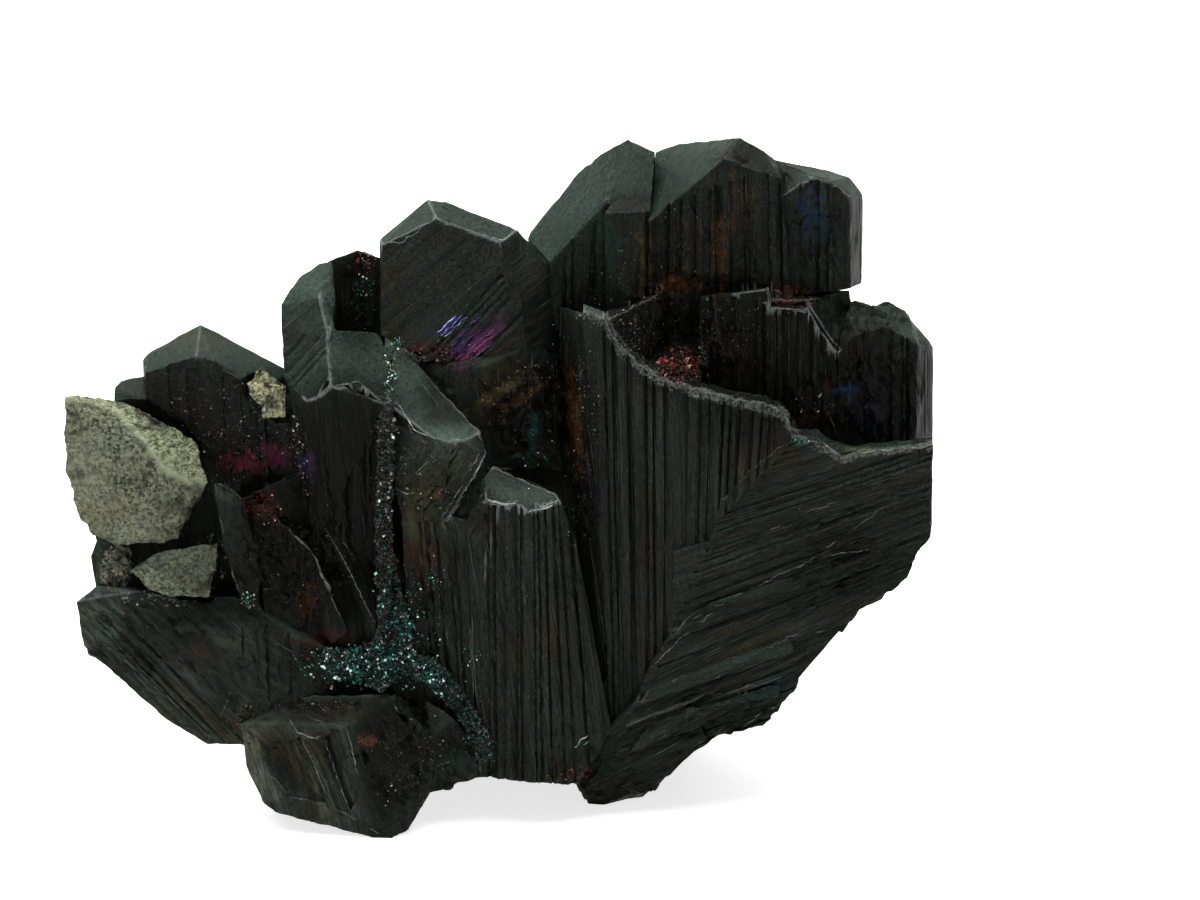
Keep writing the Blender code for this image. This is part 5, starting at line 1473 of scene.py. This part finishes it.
def standing_on(V, T, count):
    """Crystals all over the skin, teal below and olive above: places, normals, sizes, colours."""
    n, area = normals_of(V, T)
    front = np.flatnonzero((n @ INTO) < 0.2)
    share = np.cumsum(area[front])
    ids = np.arange(count)
    draw = np.searchsorted(share / share[-1], (ids + hashed(ids, 170)) / count)
    tri = front[np.minimum(draw, len(front) - 1)]
    u, w = hashed(ids, 171), hashed(ids, 172)
    flip = u + w > 1
    u, w = np.where(flip, 1 - u, u), np.where(flip, 1 - w, w)
    centres = V[T[tri, 0]] * (1 - u - w)[:, None] + V[T[tri, 1]] * u[:, None] + V[T[tri, 2]] * w[:, None]
    col, row, _ = drawn(centres)
    teal = hashed(ids, 173) < np.clip((row - 560) / 70, 0.05, 0.92)
    colours = np.where(teal[:, None], picked(TEAL, count, 174), picked(OLIVE, count, 176))
    # Painted shade: crystals on faces of the skin that turn sideways are darker.
    painted_sideways_shade = np.clip((n[tri] @ INTO + 0.80) / 0.35, 0, 1)
    branch = np.clip((col - 436) / 12, 0, 1)
    colours = colours * ((1 - 0.85 * painted_sideways_shade) * (1 - 0.72 * branch))[:, None]
    sizes = 0.05 + 0.11 * hashed(ids, 178) ** 2
    return centres - n[tri] * 0.02, n[tri], sizes, colours


skin, skin_V, skin_T = lumpy_skin("malachite_crust", "malachite_skin")
dress(skin, crust_paint(), "malachite_crust")
green = crystals("malachite_crystals", *standing_on(skin_V, skin_T, 9000), 180)
dress(green, druse("malachite_crystal"), "malachite_crust")

# Grains on the crystals, as drawn: column, row, half width, half height, turn, count, size in mm, colours.
GRAINS = (
    (367, 264, 12, 14, 0, 90, 0.12, RED),
    (366, 288, 12, 12, 0, 80, 0.11, TEAL),
    (358, 305, 18, 26, 0, 110, 0.10, DARK),
    (440, 352, 44, 12, -4, 260, 0.09, RED),
    (425, 360, 26, 9, 0, 70, 0.10, OLIVE),
    (404, 345, 14, 14, 0, 70, 0.10, OLIVE),
    (682, 366, 26, 19, -10, 420, 0.14, RED),
    (700, 350, 52, 40, 0, 320, 0.10, RUST),
    (648, 352, 26, 30, 20, 160, 0.10, DARK),
    (676, 286, 22, 9, 0, 70, 0.09, RED),
    (655, 300, 30, 12, 0, 130, 0.11, RUST),
    (745, 330, 50, 40, 0, 200, 0.07, RUST),
    (630, 330, 22, 22, 0, 160, 0.09, RUST),
    (586, 400, 15, 60, -3, 220, 0.08, RUST),
    (520, 384, 46, 16, -24, 200, 0.08, RUST),
    (391, 372, 7, 30, 0, 90, 0.10, MINT),
    (398, 342, 8, 8, 0, 40, 0.09, MINT),
    (585, 500, 12, 50, 0, 200, 0.08, DARK),
    (535, 450, 24, 40, 0, 120, 0.07, TEAL),
    (230, 440, 70, 56, 20, 420, 0.07, DARK),
    (292, 436, 16, 22, 0, 120, 0.10, RUST),
    (264, 508, 26, 16, 25, 150, 0.09, RED),
    (300, 560, 60, 46, 30, 420, 0.08, DARK),
    (248, 600, 8, 9, 0, 50, 0.10, MINT),
    (308, 606, 14, 22, 0, 110, 0.09, RUST),
    (371, 743, 13, 10, 0, 80, 0.08, RUST),
    (395, 750, 34, 44, 0, 200, 0.06, DARK),
    (240, 725, 18, 22, 0, 110, 0.10, RUST),
    (300, 706, 60, 8, 0, 160, 0.09, RUST),
    (438, 490, 34, 34, 0, 240, 0.08, OLIVE),
    (430, 590, 22, 40, 0, 160, 0.08, OLIVE),
    (436, 580, 12, 10, 0, 60, 0.09, TEAL),
    (470, 660, 12, 16, 0, 70, 0.09, TEAL),
    (572, 776, 26, 10, 0, 120, 0.09, RED),
    (815, 402, 22, 16, 20, 110, 0.09, OLIVE),
    (800, 442, 12, 6, 0, 60, 0.09, TEAL),
    (790, 300, 26, 14, 0, 120, 0.08, RED),
    (720, 250, 40, 46, 0, 110, 0.06, RUST),
    (600, 300, 40, 24, 0, 120, 0.06, DARK),
    (175, 400, 50, 26, 30, 150, 0.06, DARK),
    (480, 700, 26, 60, -20, 200, 0.07, DARK),
    (345, 655, 44, 12, 0, 160, 0.09, RED),
    (120, 620, 40, 20, 20, 90, 0.07, DARK),
    (590, 318, 14, 10, 0, 60, 0.10, OLIVE),
    (360, 668, 66, 26, 4, 900, 0.10, TEAL),
    (408, 650, 34, 40, 0, 500, 0.10, TEAL),
    (478, 735, 20, 40, -20, 160, 0.09, DIM),
    (389, 480, 18, 150, -2, 900, 0.08, OLIVE),
    (398, 606, 26, 54, 0, 420, 0.09, TEAL),
    (470, 720, 18, 50, -24, 300, 0.08, DIM),
    (225, 430, 60, 50, 20, 240, 0.09, GLINT),
    (300, 460, 10, 40, -14, 90, 0.11, GLINT),
    (291, 424, 8, 14, -10, 60, 0.11, GLINT),
    (262, 420, 30, 30, 0, 60, 0.09, GLINT),
    (600, 300, 30, 30, 0, 60, 0.07, GLINT),
    (730, 330, 44, 40, 0, 70, 0.08, GLINT),
    (530, 380, 60, 60, 0, 160, 0.07, GLINT),
    (640, 250, 90, 50, 0, 110, 0.07, GLINT),
    (575, 470, 12, 80, 0, 110, 0.07, GLINT),
    (400, 780, 24, 40, 0, 90, 0.08, GLINT),
    (430, 740, 16, 40, -20, 110, 0.09, GLINT),
    (410, 470, 20, 30, 0, 60, 0.08, GLINT),
    # Two groups of red crystals in the cavity, whose pale crystals are painted glints.
    (666, 362, 8, 6, 0, 16, 0.20,
     ((1, (0.30, 0.12, 0.10)), (2, (0.26, 0.02, 0.02)), (0.6, (0.4, 0.34, 0.26)))),
    (690, 366, 8, 8, 0, 18, 0.18,
     ((1, (0.42, 0.08, 0.13)), (2, (0.26, 0.02, 0.02)), (0.6, (0.4, 0.34, 0.26)))),
    (116, 568, 16, 24, 10, 240, 0.26, ROCK),
    (210, 560, 16, 30, 0, 40, 0.16, ROCK),
    (165, 598, 50, 8, 0, 60, 0.14, ROCK),
)


def scattered(zones):
    """Crystals strewn over drawn zones: places, normals, sizes, colours."""
    centres, normals, sizes, colours = [], [], [], []
    for k, (col, row, wide_px, high_px, turn, count, size, palette) in enumerate(zones):
        ids = np.arange(count) + 1000 * k
        reach, angle = np.sqrt(hashed(ids, 190)) ** 1.4, 2 * math.pi * hashed(ids, 191)
        x, y = reach * np.cos(angle) * wide_px, reach * np.sin(angle) * high_px
        c, s = math.cos(math.radians(turn)), math.sin(math.radians(turn))
        tones = picked(palette, count, 200 + k)
        for i in range(count):
            hit, normal = seen(col + x[i] * c - y[i] * s, row + x[i] * s + y[i] * c)
            if hit is not None:
                centres.append(hit)
                normals.append(normal)
                sizes.append(size * (0.35 + 0.75 * hashed(ids[i], 192) ** 2))
                colours.append(tones[i])
    return tuple(np.array(column) for column in (centres, normals, sizes, colours))


dress(crystals("druse_grains", *scattered(GRAINS), 210, 1.0), druse("druse_grain"))


# ------------------------------------------------------------------ floor, light and camera

def pale_floor():
    """Near-white paper that also glows a little, so that it stays pale under a soft light."""
    p = Paint("pale_floor")
    soft = p.noise(p.place, 0.004, 3.0, 0.5)
    p.shader.inputs["Emission Color"].default_value = (1.0, 1.0, 1.0, 1.0)
    p.shader.inputs["Emission Strength"].default_value = 0.74
    return p.finish(p.mix(p.span(soft, 0.3, 0.7), (0.64, 0.64, 0.64), (0.66, 0.66, 0.66)), 0.9, specular=0.0)


HALF_FLOOR = 4000
floor = make_object("floor", HALF_FLOOR * np.array([(-1, -1, 0), (1, -1, 0), (1, 1, 0), (-1, 1, 0)], float),
                    np.array([(0, 1, 2), (0, 2, 3)]))
floor.data.materials.append(pale_floor())


def area_light(name, place, aim, size, watts):
    """A round soft light at a place, turned to where it aims."""
    light = bpy.data.lights.new(name, "AREA")
    light.shape, light.size, light.energy = "DISK", size, watts
    lamp = bpy.data.objects.new(name, light)
    lamp.location = place
    lamp.rotation_euler = (Vector(aim) - Vector(place)).to_track_quat("-Z", "Y").to_euler()
    bpy.context.scene.collection.objects.link(lamp)


area_light("softbox_above", (-0.12, 0.18, 0.88), (0, 0, 0), 1.5, 31.0)
world = bpy.data.worlds.new("studio")
bpy.context.scene.world = world
world.use_nodes = True
world.node_tree.nodes["Background"].inputs[0].default_value = (1.0, 1.0, 1.0, 1.0)
world.node_tree.nodes["Background"].inputs[1].default_value = 0.30
bpy.context.scene.view_settings.view_transform = "Standard"

# A long lens, so far off that its frame is as wide as the board.
BOARD = 1200 * STEP
lens = bpy.data.cameras.new("camera")
lens.lens, lens.sensor_width, lens.clip_end = 600.0, 36.0, 50.0
camera = bpy.data.objects.new("camera", lens)
aim = placed(600, 450, 8.0) / 1000.0
camera.location = Vector(aim - INTO * (lens.lens * BOARD / lens.sensor_width / 1000.0))
camera.rotation_euler = Vector(INTO).to_track_quat("-Z", "Y").to_euler()
bpy.context.scene.collection.objects.link(camera)
bpy.context.scene.camera = camera
